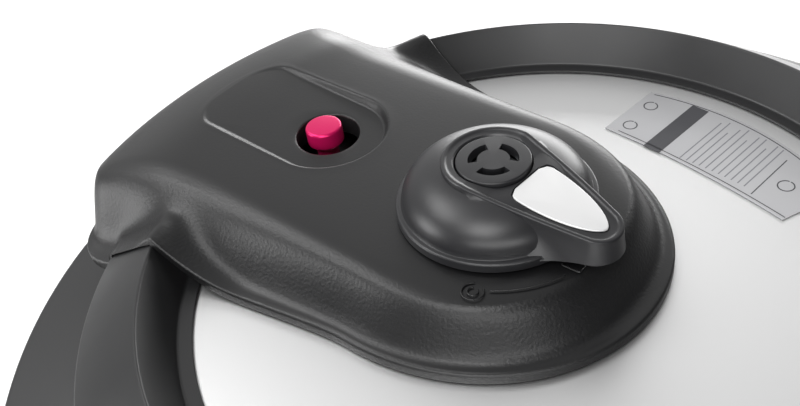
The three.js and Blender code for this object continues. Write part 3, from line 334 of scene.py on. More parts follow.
base_low, base_high = place_of("base_cover")[2:]
base_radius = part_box("base_cover")[1].x * 1000
shell_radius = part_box("body_shell")[1].x * 1000
base_corners = [
    (0, base_low, 0), (base_radius - 12, base_low, 3), (base_radius - 8, base_low + 4, 3),
    (base_radius, base_high, 0.4), (base_radius - 2.4, base_high, 0.4),
    (base_radius - 10.4, base_low + 5, 2), (base_radius - 13, base_low + 2.4, 1), (0, base_low + 2.4, 0),
]
base = turned("base_pan", base_corners, closed=False)
for slot_x in (-48, -32, -16, 16, 32, 48):
    vent = slab("vent", loop(2.5, 28, 2.4), base_low - 2, base_low + 6, 0.1, place=(slot_x, 0, 0))
    carve(base, vent)
well_corners = [(0, -1, 0), (4, -1, 0), (4, 7, 0), (0, 7, 0)]
for index in range(1, 4):
    screw_x, screw_y = place_of(f"base_screw_{index}")[:2]
    carve(base, turned("well", well_corners, (screw_x, screw_y, base_low), 32, closed=False))
dress(base, base_abs, "housing", "black_plastic", "base_cover")

# ---- Housing: stainless steel shell.
# One sheet of stainless steel, rolled to a tube and brushed round its girth, with a hole for the
# inlet. Its lower edge is flanged inwards for the base screws.


def brushed_steel(name, colour, roughness, brush_mm):
    """Brushed metal: fine lines round the axis, in roughness and bump.

    The pattern is a noise that lies on height and radius only, so it runs round the girth.
    """
    material, tree, shader = finish(name, colour, roughness, 1.0)
    axes = add(tree, "ShaderNodeSeparateXYZ", links=[(0, object_place(tree))]).outputs
    flat = add(tree, "ShaderNodeCombineXYZ", links=[("X", axes["X"]), ("Y", axes["Y"])]).outputs[0]
    radius = add(tree, "ShaderNodeVectorMath", [("operation", "LENGTH")], [(0, flat)]).outputs["Value"]
    place = add(tree, "ShaderNodeCombineXYZ", links=[("X", radius), ("Z", axes["Z"])]).outputs[0]
    lines = noise(tree, place, 1000 / brush_mm, 4.0)
    roughened(tree, shader, lines, roughness - 0.07, roughness + 0.07, (0.3, 0.7))
    bumped(tree, shader, lines, 0.4, 0.02)
    return material


# Satin stainless steel: grey-white metal whose highlights stretch across the brush lines.
shell_steel = brushed_steel("brushed_stainless_steel", "b4b4b3", 0.3, 0.9)
shell_low, shell_high = place_of("body_shell")[2:]
sheet, flange_in = 1.2, shell_radius - 26
shell_corners = [
    (flange_in, shell_low, 0), (shell_radius, shell_low, 1.2), (shell_radius, shell_high, 0.3),
    (shell_radius - sheet, shell_high, 0.3), (shell_radius - sheet, shell_low + sheet, 0.5),
    (flange_in, shell_low + sheet, 0),
]
shell = turned("steel_shell", shell_corners, segments=240)
inlet_low, inlet_high = place_of("power_inlet")[2:]
inlet_place = (0, 0, (inlet_low + inlet_high) / 2)
inlet_hole = loop(15.6, 12.6, 3)
carve(shell, slab("hole", inlet_hole, shell_radius - 12, shell_radius + 6, 0.1, "xz", inlet_place))
dress(shell, shell_steel, "housing", "brushed_steel", "body_shell")

# ---- Housing: top ring and side handles.
# The rim that the lid turns in is one black polypropylene moulding, pushed down over the shell. A
# hollow side handle is screwed under it on each side, with a gap for the fingers.
rim_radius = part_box("top_ring")[1].x * 1000
rim_low, rim_high = place_of("top_ring")[2:]


def fine_copy(name, node, bevel_mm, angle=25, segments=3):
    """A detailed copy of a CAD node: its mesh merged, its sharp edges rounded by a bevel."""
    source = bpy.data.objects[node]
    work = bmesh.new()
    work.from_mesh(source.data)
    bmesh.ops.remove_doubles(work, verts=work.verts, dist=2e-6)
    bmesh.ops.dissolve_limit(work, angle_limit=math.radians(1), verts=work.verts, edges=work.edges)
    mesh = bpy.data.meshes.new(name)
    work.to_mesh(mesh)
    work.free()
    piece = bpy.data.objects.new(name, mesh)
    bpy.context.scene.collection.objects.link(piece)
    rounding = piece.modifiers.new("rounding", "BEVEL")
    rounding.width = bevel_mm / 1000
    rounding.segments = segments
    rounding.limit_method = "ANGLE"
    rounding.angle_limit = math.radians(angle)
    rounding.use_clamp_overlap = True
    bpy.context.view_layer.update()
    shaped = piece.evaluated_get(bpy.context.evaluated_depsgraph_get())
    piece.data = bpy.data.meshes.new_from_object(shaped)
    piece.modifiers.clear()
    piece.data.shade_smooth()
    piece.data.set_sharp_from_angle(angle=math.radians(38))
    return piece


def paint(slots):
    """Gives kept CAD nodes their material, one (material, nodes) pair at a time."""
    for material, nodes in slots:
        for node in nodes:
            data = bpy.data.objects[node].data
            data.materials.clear()
            data.materials.append(material)


# Polypropylene for the rim: dark, with the same fine eroded grain as the bezel.
rim_plastic = grained_plastic("eroded_black_polypropylene", "1b1b1c", 0.44, 0.45, 0.016)
rim_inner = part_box("outer_pot")[1].x * 1000 + 0.6
bezel_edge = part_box("lid_bezel")[1].x * 1000 + 0.6
rim_corners = [
    (rim_inner, rim_low + 14, 0.3), (rim_inner, rim_high, 0.8),
    (bezel_edge, rim_high, 6), (rim_radius - 1.4, rim_high - 3, 2.2),
    (rim_radius, rim_high - 5.8, 2), (rim_radius - 1.2, rim_low, 0.5), (rim_radius - 3.4, rim_low, 0.5),
    (rim_radius - 4, rim_high - 6.4, 1.5), (rim_inner + 2.4, rim_high - 3.6, 1),
    (rim_inner + 2.4, rim_low + 14, 0.3),
]
top_ring = turned("top_rim", rim_corners, segments=288)
dress(top_ring, rim_plastic, "housing", "black_plastic", "top_ring")
for side in ("left", "right"):
    grip = fine_copy(f"side_grip_{side}", f"side_handle_{side}", 2.2, 40, 4)
    dress(grip, rim_plastic, "housing", "black_plastic", f"side_handle_{side}")

# ---- Housing: control panel.
# A glossy black panel face sits in a satin ABS frame screwed to the shell's front. Six silver keys
# come through it over sprung switches on the control board; a smoked window covers the display.
frame_abs = grained_plastic("satin_black_abs", "1d1d1e", 0.4, 0.5, 0.012)
surround = fine_copy("panel_surround", "panel_frame", 1.6, 40, 4)
dress(surround, frame_abs, "housing", "black_plastic", "panel_frame")


def lacquered(name, colour, roughness, haze_mm=25):
    """A polished plastic face under clear lacquer, with faint smears in its gloss."""
    material, tree, shader = finish(name, colour, roughness, Coat_Weight=0.6, Coat_Roughness=0.06)
    smear = noise(tree, object_place(tree), 1000 / haze_mm, 4.0)
    roughened(tree, shader, smear, roughness, roughness + 0.1, (0.35, 0.7))
    return material


# Silver paint on ABS keys: satin, with a fine flake.
silver_key = grained_plastic("silver_painted_abs", "c6c7c9", 0.36, 0.3, 0.006, 0.7)
panel_gloss = lacquered("piano_black_acrylic", "08080a", 0.12)
smoked_window = lacquered("smoked_polycarbonate", "14161c", 0.08, 60)
sheet_piece = fine_copy("panel_sheet", "panel_face", 0.5, 40)
dress(sheet_piece, panel_gloss, "housing", "gloss_black", "panel_face")
window_piece = fine_copy("smoked_window", "display_window", 0.4, 40)
dress(window_piece, smoked_window, "housing", "gloss_black", "display_window")
for index in range(1, 7):
    key = fine_copy(f"silver_key_{index}", f"button_{index}", 0.45, 40)
    dress(key, silver_key, f"key_{index}", "silver_paint", f"button_{index}")
window_near, window_far = (corner * 1000 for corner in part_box("display_window"))
window_middle = (window_near + window_far) / 2
window_half = (window_far - window_near) / 2


def trim_ring(name, half_x, half_z, radius, width, proud):
    """A thin frame round a rounded rectangle on the panel's face, half round in section."""
    outline = loop(half_x, half_z, radius, 10)
    ahead = np.roll(outline, -1, 0) - np.roll(outline, 1, 0)
    normal = np.stack((ahead[:, 1], -ahead[:, 0]), 1) / np.hypot(*ahead.T)[:, None]
    turn = np.linspace(0, 2 * math.pi, 10, endpoint=False)
    xz = outline[:, None] + normal[:, None] * (np.cos(turn) * width / 2)[None, :, None]
    y = np.broadcast_to(window_near.y - 0.02 + np.sin(turn) * proud, xz.shape[:2])
    return make(name, np.stack((xz[..., 0] + window_middle.x, y, xz[..., 1] + window_middle.z), -1))


trim_gap = 1.6
window_trim = trim_ring(
    "window_trim", window_half.x + trim_gap, window_half.z + trim_gap, 4.2, 0.9, 0.35,
)
dress(window_trim, silver_key, "housing", "silver_paint")

# ---- Housing: power inlet, condensation cup and its bracket.
# The three-pin inlet is moulded in black nylon with nickel-plated contacts. The clear cup that
# catches condensation slides into a black bracket on the shell's back.
inlet = fine_copy("inlet_socket", "power_inlet", 0.5, 40)
dress(inlet, frame_abs, "housing", "black_plastic", "power_inlet")
rails = fine_copy("cup_rails", "cup_bracket", 0.6, 40)
dress(rails, frame_abs, "housing", "black_plastic", "cup_bracket")
# Clear polycarbonate: slightly blue, hazy where droplets have dried.
cup_clear, cup_tree, cup_shader = finish(
    "clear_polycarbonate", "dfe6ea", 0.12, IOR=1.58, Transmission_Weight=0.85,
)
roughened(cup_tree, cup_shader, noise(cup_tree, object_place(cup_tree), 60.0, 3.0), 0.06, 0.2)
cup = fine_copy("clear_cup", "condensation_cup", 0.5, 40)
dress(cup, cup_clear, "cup", "clear_plastic", "condensation_cup")

# ---- Inside: pot, chamber, heating plate and seal.
# A spun aluminium pot with a brushed inside stands on a cast aluminium heating plate, in a pressed
# steel chamber. The silicone sealing ring is moulded in one piece and hangs on the lid's plate.
pot_low, pot_high = place_of("inner_pot")[2:]
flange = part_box("inner_pot")[1].x * 1000
pot_outer, pot_inner, pot_corner = flange - 8, flange - 10, 22
pot_corners = [
    (0, pot_low, 0), (pot_outer, pot_low, pot_corner), (pot_outer, pot_high - 3.7, 1),
    (flange, pot_high - 3.7, 0.8), (flange, pot_high, 1.6), (pot_inner, pot_high, 2.6),
    (pot_inner, pot_low + 2, pot_corner - 2), (0, pot_low + 2, 0),
]
pot = turned("spun_pot", pot_corners, segments=192, closed=False)
# Spun aluminium: paler than steel, with the fine rings of the spinning tool.
dress(pot, brushed_steel("spun_aluminium", "bfc0c1", 0.36, 0.6), "pot", "aluminium", "inner_pot")
# Platinum-cured silicone: translucent, milky white, slightly waxy.
silicone, silicone_tree, silicone_shader = finish(
    "moulded_silicone", "d9dbdc", 0.5, Subsurface_Weight=0.25, Subsurface_Scale=0.002,
)
silicone_dust = noise(silicone_tree, object_place(silicone_tree), 300.0, 3.0)
bumped(silicone_tree, silicone_shader, silicone_dust, 0.2, 0.03)
# Drawn stainless, cast aluminium, zinc-plated steel, lacquered board and heat-proof nylon.
chamber_steel = brushed_steel("pressed_steel", "b8b9ba", 0.32, 0.8)
cast_aluminium = grained_plastic("cast_aluminium", "9fa0a2", 0.45, 1.2, 0.06, 1.0)
zinc_steel = grained_plastic("zinc_plated_steel", "c4c6c8", 0.3, 0.6, 0.01, 1.0)
solder_mask = lacquered("green_solder_mask", "17583a", 0.35, 8)
warm_nylon = grained_plastic("white_nylon", "dcd9cf", 0.5, 0.8, 0.02)
paint([
    (chamber_steel, ["outer_pot", "lid_pressure_plate", "seal_support_ring", "anti_block_shield"]),
    (chamber_steel, ["lock_bracket", "sensor_bracket"]),
    (cast_aluminium, ["heating_plate", "sensor_cap", "float_guide"]),
    (zinc_steel, [f"base_screw_{index}" for index in range(1, 4)]),
    (zinc_steel, ["grip_screw_1", "grip_screw_2", "lid_screw_1", "lid_screw_2"]),
    (zinc_steel, ["sensor_spring", "lock_spring", "lock_rod", "inlet_pins"]),
    (zinc_steel, ["vent_pipe", "vent_nut", "valve_weight"]),
    (solder_mask, ["power_board", "control_board"]),
    (warm_nylon, ["pressure_switch", "thermal_fuse"]),
    (silicone, ["float_seal", "sealing_ring"]),
    (frame_abs, ["handle_base"]),
])

# ---- Lid: steel cover plate and its film label.
# A pressed disc of satin stainless steel fills the lid's middle. On its right lies a thin silver
# polyester label with a dark band and plain rules, stuck down by its own adhesive.


def strip(name, path, width, low, high):
    """A flat strip of a given width along an open path of points in mm, raised from low to high."""
    path = np.array(path, float)
    along = np.gradient(path, axis=0)
    side = np.stack((-along[:, 1], along[:, 0]), 1) / np.hypot(*along.T)[:, None] * width / 2
    left, right = path + side, path - side
    corners = [(left, low), (right, low), (right, high), (left, high)]
    ring = np.stack([np.column_stack((line, np.full(len(line), z))) for line, z in corners], 1)
    caps = [np.broadcast_to(ring[end].mean(0), ring[end].shape)[None] for end in (0, -1)]
    return make(name, np.concatenate((caps[0], ring, caps[1])), False, True)


def joined(name, pieces, sharp=38):
    """Joins pieces that don't touch into one mesh."""
    work = bmesh.new()
    for piece in pieces:
        work.from_mesh(piece.data)
        bpy.data.objects.remove(piece)
    mesh = bpy.data.meshes.new(name)
    work.to_mesh(mesh)
    work.free()
    return tidy(name, mesh, sharp)


# Satin stainless: a soft circular grain from the brushing wheel, bright and even.
plate_steel = brushed_steel("satin_stainless_steel", "e6e6e6", 0.42, 0.2)
paint([(plate_steel, ["lid_cover_plate"])])


def arc(radius, start, end, steps=24, centre=(0, 0)):
    """Points on a circle from one angle to another, in degrees."""
    angle = np.radians(np.linspace(start, end, steps + 1))
    return np.stack((centre[0] + radius * np.cos(angle), centre[1] + radius * np.sin(angle)), 1)


label_low, label_high = place_of("lid_label")[2:]
label_radius = 91.7
share = np.linspace(0, 1, 17)[:, None]
inner_start, inner_bend, inner_stop = (65.3, 17.1), (62.5, -17.2), (51.5, -52)
inner_edge = (1 - share) ** 2 * inner_start + 2 * share * (1 - share) * inner_bend + share ** 2 * inner_stop
label_edge = np.concatenate((inner_edge[:-1], arc(label_radius, -38, 9)))
film = slab("label_film", label_edge, label_low, label_high, 0.08)
# Silvered polyester film: satin, a little paler than the plate.
film_polyester, film_tree, film_shader = finish("silvered_polyester_film", "b2b2b4", 0.4, 0.3)
bumped(film_tree, film_shader, noise(film_tree, object_place(film_tree), 900.0, 2.0), 0.15, 0.02)
dress(film, film_polyester, "lid", "label", "lid_label")


def ink(name, colour):
    """Screen-printed ink on film: slightly glossy, uneven at the scale of the mesh screen."""
    material, tree, shader = finish(name, colour, 0.35)
    roughened(tree, shader, noise(tree, object_place(tree), 2500.0, 1.0), 0.28, 0.42)
    return material


dark_ink, grey_ink = ink("dark_screen_ink", "3a3a3e"), ink("grey_screen_ink", "77777c")
print_low, print_high = label_high - 0.04, label_high + 0.03
line_width = 0.35
band_near, band_far = np.array((62.9, -1.0)), np.array((89.95, -4.1))
band_path = np.stack((band_near, (band_near + band_far) / 2, band_far))
band_width = math.hypot(1.0, 6.4) - 0.4
band = strip("label_band", band_path, band_width, print_low, print_high)
divider = np.array(((58.6, -35.7), (68.6, -36.8), (78.4, -37.9)))
outline_paths = (arc(label_radius - 1.2, 8, -37), inner_edge[1:-1] + (1.2, -0.2), divider)
outline_pieces = [strip("outline", path, line_width, print_low, print_high) for path in outline_paths]
marks = [(70.6, 10.9, 2.2), (83.2, 10.4, 2.2), (67.1, -42.5, 2.4)]
for mark_x, mark_y, mark_radius in marks:
    circle = arc(mark_radius, 0, 350, 30, (mark_x, mark_y))
    outline_pieces.append(strip("mark", circle, 0.4, print_low, print_high))
dark_print = joined("label_print", [band, *outline_pieces])
dress(dark_print, dark_ink, "lid", "label")
rule_pieces = []
rule_pitch, rule_slant, rule_lengths = 2.2, 0.12, (22.5, 24, 19)
for row in range(11):
    rule_y = -10.5 - rule_pitch * row
    start_x = 63.4 - 0.12 * row - 0.014 * row ** 2
    edge_x = math.sqrt((label_radius - 3) ** 2 - rule_y ** 2)
    rule_x = np.linspace(start_x, min(start_x + rule_lengths[row % 3], edge_x), 3)
    rule = np.stack((rule_x, rule_y - (rule_x - start_x) * rule_slant), 1)
    rule_pieces.append(strip("rule", rule, 0.4, print_low, print_high))
dress(joined("label_rules", rule_pieces), grey_ink, "lid", "label")

# ---- Lid: bezel ring.
# A wide ring moulded in black polypropylene frames the plate. It clips over the plate's edge and its
# own skirt hangs over the housing's rim; its face has a fine spark-eroded grain.
bezel_radius = 130.7
plate_radius = 97.9
foot_radius = 102.1
crease_radius, crease_height = 110.1, 13.5
skirt_low = place_of("lid_bezel")[2] - lid_z
bezel_corners = [
    (plate_radius, 0.3, 0.1), (plate_radius, 1, 0.25), (foot_radius, 1, 1.2),
    (crease_radius, crease_height, 0.7),
    (bezel_radius, 0, 1.6), (bezel_radius, skirt_low, 0.5), (bezel_radius - 1.8, skirt_low, 0.5),
    (bezel_radius - 2, -1.2, 0.8), (crease_radius + 0.4, crease_height - 3.2, 0.8),
    (foot_radius + 1.5, 0.3, 0.3),
]
bezel = turned("bezel_ring", bezel_corners, (0, 0, lid_z), 288)
# Polypropylene with a fine spark-eroded grain: dark grey with a broad soft sheen.
bezel_plastic = grained_plastic("spark_eroded_polypropylene", "1b1b1c", 0.4, 0.45, 0.016)
dress(bezel, bezel_plastic, "lid", "black_plastic", "lid_bezel")

# ---- Lid: handle cover.
# One long black moulding spans the lid from under the valve to the grip. Its flat top has a shallow
# recess round the float valve, its flanks slope to a lip that follows the plate and the bezel.
handle_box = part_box("handle_cover")
handle_end = handle_box[0].z * 1000 - lid_z
tip_centre, flare_start = 25, 88
ridge_line = dict(tip=48, bulge=2.3, half=42.3, widen=0.03, corner_x=55, corner_r=147, corner=8)
lip_line = dict(tip=61, bulge=2.03, half=53, widen=0.19, corner_x=70, corner_r=148, corner=12)
steps_tip, steps_side, steps_corner, steps_end = 44, 60, 12, 16


def side_half_width(line, y):
    """Widens steadily from the tip's centre with no kink, then flares out to the corner."""
    corner_y = math.sqrt(line["corner_r"] ** 2 - line["corner_x"] ** 2)
    plain, at_corner = (
        line["half"] + line["widen"] * (np.hypot(at - tip_centre, 8) - 8) for at in (y, corner_y)
    )
    share = np.maximum(0, y - flare_start) / (corner_y - flare_start)
    return plain + (line["corner_x"] - at_corner) * share ** 2


def half_outline(line):
    """Superellipse quarter round the tip, the side, a Bezier corner, then an arc round the axis."""
    turn = (1 - np.linspace(0, 1, steps_tip + 1)) * math.pi / 2
    out = np.maximum(0, np.cos(turn)) ** (2 / line["bulge"])
    out[0] = 0
    forward = tip_centre - line["tip"] * np.sin(turn) ** (2 / line["bulge"])
    tip = np.stack((line["half"] * out, forward), 1)
    corner_y = math.sqrt(line["corner_r"] ** 2 - line["corner_x"] ** 2)
    side_end = corner_y - line["corner"]
    side_y = np.linspace(tip_centre, side_end, steps_side + 1)[1:]
    side = np.stack((side_half_width(line, side_y), side_y), 1)
    end_angle = math.asin((line["corner_x"] - line["corner"]) / line["corner_r"])
    after = line["corner_r"] * np.array((math.sin(end_angle), math.cos(end_angle)))
    t = np.linspace(0, 1, steps_corner + 1)[1:, None]
    pull = np.array((line["corner_x"], corner_y))
    corner = (1 - t) ** 2 * side[-1] + 2 * t * (1 - t) * pull + t * t * after
    angle = np.linspace(end_angle, 0, steps_end + 1)[1:]
    end = line["corner_r"] * np.stack((np.sin(angle), np.cos(angle)), 1)
    return np.concatenate((tip, side, corner, end))


def whole(half):
    """The right half outline and its mirror image as one loop, from the tip round to the tip."""
    return np.concatenate((half, half[-2:0:-1] * (-1, 1)))


ridge_points, lip_points = whole(half_outline(ridge_line)), whole(half_outline(lip_line))


def ring_at(h):
    """The outline at h, from the ridge (0) to the lip (1), and beyond the ridge when negative."""
    return ridge_points + (lip_points - ridge_points) * h


saddle_start, saddle_end = 82, 110


def saddle(radius, bend):
    """A smooth rise from the plate over the bezel's crease, which the handle's lip follows."""
    rise = crease_height * np.maximum(0, (radius - saddle_start) / (saddle_end - saddle_start)) ** 2.2
    fall = crease_height * (bezel_radius - radius) / (bezel_radius - crease_radius) + 0.4
    return (rise + fall - np.hypot(rise - fall, bend)) / 2


def lid_surface(radius):
    """Height of the plate and the bezel above the plate at a radius."""
    rise = 1 + (radius - foot_radius) / (crease_radius - foot_radius) * (crease_height - 1)
    fall = crease_height * (bezel_radius - radius) / (bezel_radius - crease_radius)
    slopes = np.where(radius < crease_radius, rise, fall)
    return np.where(radius < plate_radius, 0, np.where(radius < foot_radius, 1, slopes))


top_height, top_tilt = 18, 0.012
roll_start, roll_radius = 113, 75


def top_face(points):
    """The top rises slightly towards the grip, then rolls down over its end."""
    roll = np.maximum(0, np.hypot(points[..., 0], points[..., 1]) - roll_start)
    return top_height + top_tilt * (points[..., 1] + 23) - roll ** 2 / (2 * roll_radius)


# The flange's top is 3.6 mm above the lid. Over the bezel's edge it eases down to the grip's end.
lip_reach = np.hypot(*lip_points.T)
ease_start, ease_span = 108, 34
over_edge = np.clip((lip_reach - ease_start) / ease_span, 0, 1)
over_edge = over_edge ** 2 * (3 - 2 * over_edge)
lip_edge, soft_edge = (
    (saddle(np.minimum(lip_reach, bezel_radius), bend) + 3.6) * (1 - over_edge)
    + (handle_end + 3) * over_edge
    for bend in (2.5, 7)
)
usual_fall, flange_start = 13, 0.6


def handle_height(points, h):
    """From the ridge the flank falls to the flange at flange_start, with both bends rounded.

    Each column falls from the top's height to its own lip's height, and never cuts the bezel.
    The lip's fold over the crease fades out up the flank.
    """
    run = (h + math.hypot(h, 0.2)) / (2 * flange_start)
    fall = (run + 1 - math.hypot(run - 1, 0.2)) / 2 - (1 - math.hypot(1, 0.2)) / 2
    fall = min(fall, 1)
    radius = np.hypot(points[..., 0], points[..., 1])
    on_lid = lid_surface(np.minimum(radius, bezel_radius)) + 0.9
    clear = np.where(radius < bezel_radius, on_lid, handle_end)
    top = top_face(points)
    skin = top - usual_fall * fall - (top - soft_edge - usual_fall) * fall ** 2
    skin = skin + (lip_edge - soft_edge) * fall ** 4
    return (skin + clear + np.hypot(skin - clear, 0.6)) / 2


def lip_bottom(points):
    """The lip stands 0.35 mm off the lid, and past the bezel it reaches down to the grip's edge."""
    radius = np.hypot(points[..., 0], points[..., 1])
    drop = np.clip((radius - bezel_radius - 0.4) / 0.6, 0, 1)
    under = np.minimum(radius, bezel_radius)
    on_lid = np.maximum(lid_surface(under), saddle(under, 2.5)) + 0.35
    return on_lid * (1 - drop) + handle_end * drop


float_x, float_y = place_of("float_valve")[:2]
hole_y = float_y - 1.4
hole_radius = 10
recess_half = 19.3
recess_front, recess_side, recess_rear, recess_end = hole_y - 1, 114, 12, 124
recess_depth = 3


def recess_loop(inset):
    """Loop of the U-shaped recess: front half circle, straight sides and rear half ellipse."""
    half = recess_half - inset
    turn = (1 - np.linspace(0, 1, steps_tip + 1)) * math.pi / 2
    front = np.stack((half * np.cos(turn), recess_front - half * np.sin(turn)), 1)
    front[0, 0] = 0
    side_y = np.linspace(recess_front, recess_side, steps_side + 1)[1:]
    side = np.stack((np.full(steps_side, float(half)), side_y), 1)
    turn = np.linspace(0, math.pi / 2, steps_corner + steps_end + 1)[1:]
    rear = np.stack((half * np.cos(turn), recess_side + (recess_rear - inset) * np.sin(turn)), 1)
    rear[-1, 0] = 0
    return whole(np.concatenate((front, side, rear)))


def recess_drop(points):
    """Depth of the recess: full at its front, fading along its sides to nothing at its end."""
    fall = np.clip((recess_end - points[..., 1]) / (recess_end - recess_front + recess_half), 0, 1)
    return recess_depth * fall ** 0.8


rows = []


def lay(points, height):
    """Adds one row of the handle's skin from its plan and its heights above the plate."""
    rows.append(np.column_stack((points, np.broadcast_to(height, len(points)))))


edge_round = 0.9
lip_top = handle_height(lip_points, 1.0)
lip_low = lip_bottom(lip_points)
lip_room = np.minimum(edge_round, (lip_top - lip_low) * 0.45)
inwards = ridge_points - lip_points
inwards /= np.hypot(*inwards.T)[:, None]
lay(lip_points + inwards * 0.25, lip_low)
lay(lip_points, lip_low + 0.25)
for turn in np.linspace(0, math.pi / 2, 6):
    inset = lip_room * (1 - math.cos(turn))
    round_points = lip_points + inwards * inset[:, None]
    lay(round_points, lip_top - lip_room * (1 - math.sin(turn)))
on_flank = (0.9, 0.84, 0.78, 0.7, 0.62, 0.54, 0.46, 0.38, 0.3, 0.24, 0.19, 0.15)
on_ridge = (0.12, 0.09, 0.06, 0.03, 0.0, -0.03, -0.06, -0.09, -0.13, -0.18)
for h in (*on_flank, *on_ridge):
    lay(ring_at(h), handle_height(ring_at(h), h))
for t in (0.1, 0.25, 0.45, 0.65, 0.82, 0.93, 0.98):
    across = ring_at(on_ridge[-1]) * (1 - t) + recess_loop(-0.3) * t
    lay(across, handle_height(across, on_ridge[-1] - 4 * t))
step_width = 2.4
for inset in np.linspace(-0.3, step_width + 0.3, 12):
    share = np.clip(inset / step_width, 0, 1)
    share = share - 0.11 * math.sin(2 * math.pi * share)
    step_points = recess_loop(inset)
    lay(step_points, top_face(step_points) - recess_drop(step_points) * share)
rim_fillet = 0.7
floor_loop = recess_loop(step_width + 0.3)
bearing = np.arctan2(floor_loop[:, 1] - hole_y, floor_loop[:, 0])
hole_unit = np.stack((np.cos(bearing), np.sin(bearing)), 1)


def hole_ring(radius):
    """The circle round the float valve, one point on the bearing of each column."""
    return hole_unit * radius + (0, hole_y)


for t in (0.3, 0.6, 0.85, 1.0):
    across = floor_loop * (1 - t) + hole_ring(hole_radius + rim_fillet) * t
    lay(across, top_face(across) - recess_drop(across))
for turn in np.linspace(0, math.pi / 2, 6)[1:]:
    ring = hole_ring(hole_radius + rim_fillet * (1 - math.sin(turn)))
    lay(ring, top_face(ring) - recess_drop(ring) - rim_fillet * (1 - math.cos(turn)))
hole_depth = 9
hole_floor = top_face(hole_ring(hole_radius)) - hole_depth
lay(hole_ring(hole_radius), hole_floor)
lay(hole_ring(hole_radius + 2), hole_floor)
under_ring = ring_at(0.1)
under_top = top_face(under_ring) - 6
lay(under_ring, np.maximum(under_top, lid_surface(np.hypot(*under_ring.T)) + 0.3))
wall = 3
for h in (0.45, 0.84):
    under_ring = ring_at(h)
    lay(under_ring, np.maximum(handle_height(under_ring, h + 0.13) - wall, lip_bottom(under_ring)))
lay(ring_at(0.88), lip_bottom(ring_at(0.88)))
handle_rows = np.stack(rows) + (0, 0, lid_z)
handle = make("handle_skin", handle_rows, True, True, 42)


def two_faced_plastic(name, colour, smooth, grained, grain_mm, depth_mm):
    """Plastic from a mould whose level faces were polished satin and its flanks spark-eroded.

    The normal's height picks the roughness and the strength of the grain's bump.
    """
    material, tree, shader = finish(name, colour, smooth, IOR=1.5)
    normal = add(tree, "ShaderNodeNewGeometry").outputs["Normal"]
    upward = add(tree, "ShaderNodeSeparateXYZ", links=[(0, normal)]).outputs["Z"]
    level = add(
        tree, "ShaderNodeMapRange", [("From Min", 0.93), ("From Max", 0.985)], [("Value", upward)],
    ).outputs["Result"]
    bump = bumped(tree, shader, noise(tree, object_place(tree), 1000 / grain_mm, 2.0), 1.0, depth_mm)
    strength = add(tree, "ShaderNodeMapRange", [("To Min", 0.9), ("To Max", 0.18)], [("Value", level)])
    tree.links.new(strength.outputs["Result"], bump.inputs["Strength"])
    roughened(tree, shader, level, grained, smooth)
    return material


# ABS from a mould with a satin top and eroded flanks: near black, its grain glitters in the light.
# The grain is drawn coarse, 0.9 mm to a cell, so that it still shows from a short way off.
handle_abs = two_faced_plastic("satin_and_eroded_abs", "121213", 0.32, 0.44, 0.9, 0.12)
dress(handle, handle_abs, "lid", "black_plastic", "handle_cover")

# ---- Lid: marks beside the valve.
# Two plain marks and an arc between them are raised in the mould, a little proud of the handle's top:
# a square for the sealed place and two rings for the steam place.
valve_y = place_of("vent_pipe")[1]


def bead(name, path, width, proud):
    """A half-round bead along an open path on the handle's top, sinking in at both ends."""
    path = np.array(path, float)
    along = np.gradient(path, axis=0)
    side = np.stack((-along[:, 1], along[:, 0]), 1) / np.hypot(*along.T)[:, None]
    turn = np.linspace(0, 2 * math.pi, 12, endpoint=False)
    taper = np.sqrt(np.clip(1 - np.linspace(-1, 1, len(path)) ** 16, 0, 1)) * 0.999 + 0.001
    out = np.cos(turn) * width / 2 * taper[:, None]
    lift = np.sin(turn) * proud * taper[:, None]
    xy = path[:, None] + side[:, None] * out[..., None]
    z = top_face(xy) + lift + lid_z
    return make(name, np.concatenate((xy, z[..., None]), -1), False, True)


def at_valve(radius, degrees):
    """A point on the handle's top, by radius and angle round the valve's axis."""
    return radius * math.cos(math.radians(degrees)), valve_y + radius * math.sin(math.radians(degrees))


arc_mark = bead("mark", arc(33.5, -148, -113, 40, (0, valve_y)), 0.5, 0.2)
steam_x, steam_y = at_valve(34, -154.5)
rings = [bead("mark", arc(r, 20, 340, 32, (steam_x, steam_y)), 0.45, 0.2) for r in (1.4, 2.9)]
seal_x, seal_y = -7.9, -18
half_mark = 2.7
signs = ((1, -1), (1, 1), (-1, 1), (-1, -1))
square_corners = [(half_mark * x, half_mark * y, 0.6) for x, y in signs]
square = rounded([*square_corners, (half_mark - 0.1, -half_mark, 0)], False) + (seal_x, seal_y)
marks_piece = joined("valve_marks", [arc_mark, *rings, bead("mark", square, 0.5, 0.2)])
dress(marks_piece, handle_abs, "lid", "black_plastic")

# ---- Lid: steam release knob.
# A black moulded knob sits loose on the vent pipe and turns on it. Its domed ring carries a flat arm
# with a raised rim; the arm is the pointer, and it slopes down to its round tip.
knob_low = place_of("valve_knob")[2]
knob_turn = math.radians(-3.5)
knob_place = Matrix.Translation((0, valve_y / 1000, knob_low / 1000)) @ Matrix.Rotation(knob_turn, 4, "Z")
knob_radius, dome_radius, knob_height = 27.9, 26.1, 15.4
plateau_radius, tip_radius, tip_reach = 14.3, 6.9, 32.8
arm_slope = 0.175
cap_hole = 10.65


def settle(piece, matrix):
    """Moves a finished mesh to its place, so that its object stays at the origin."""
    piece.data.transform(matrix)
    return piece


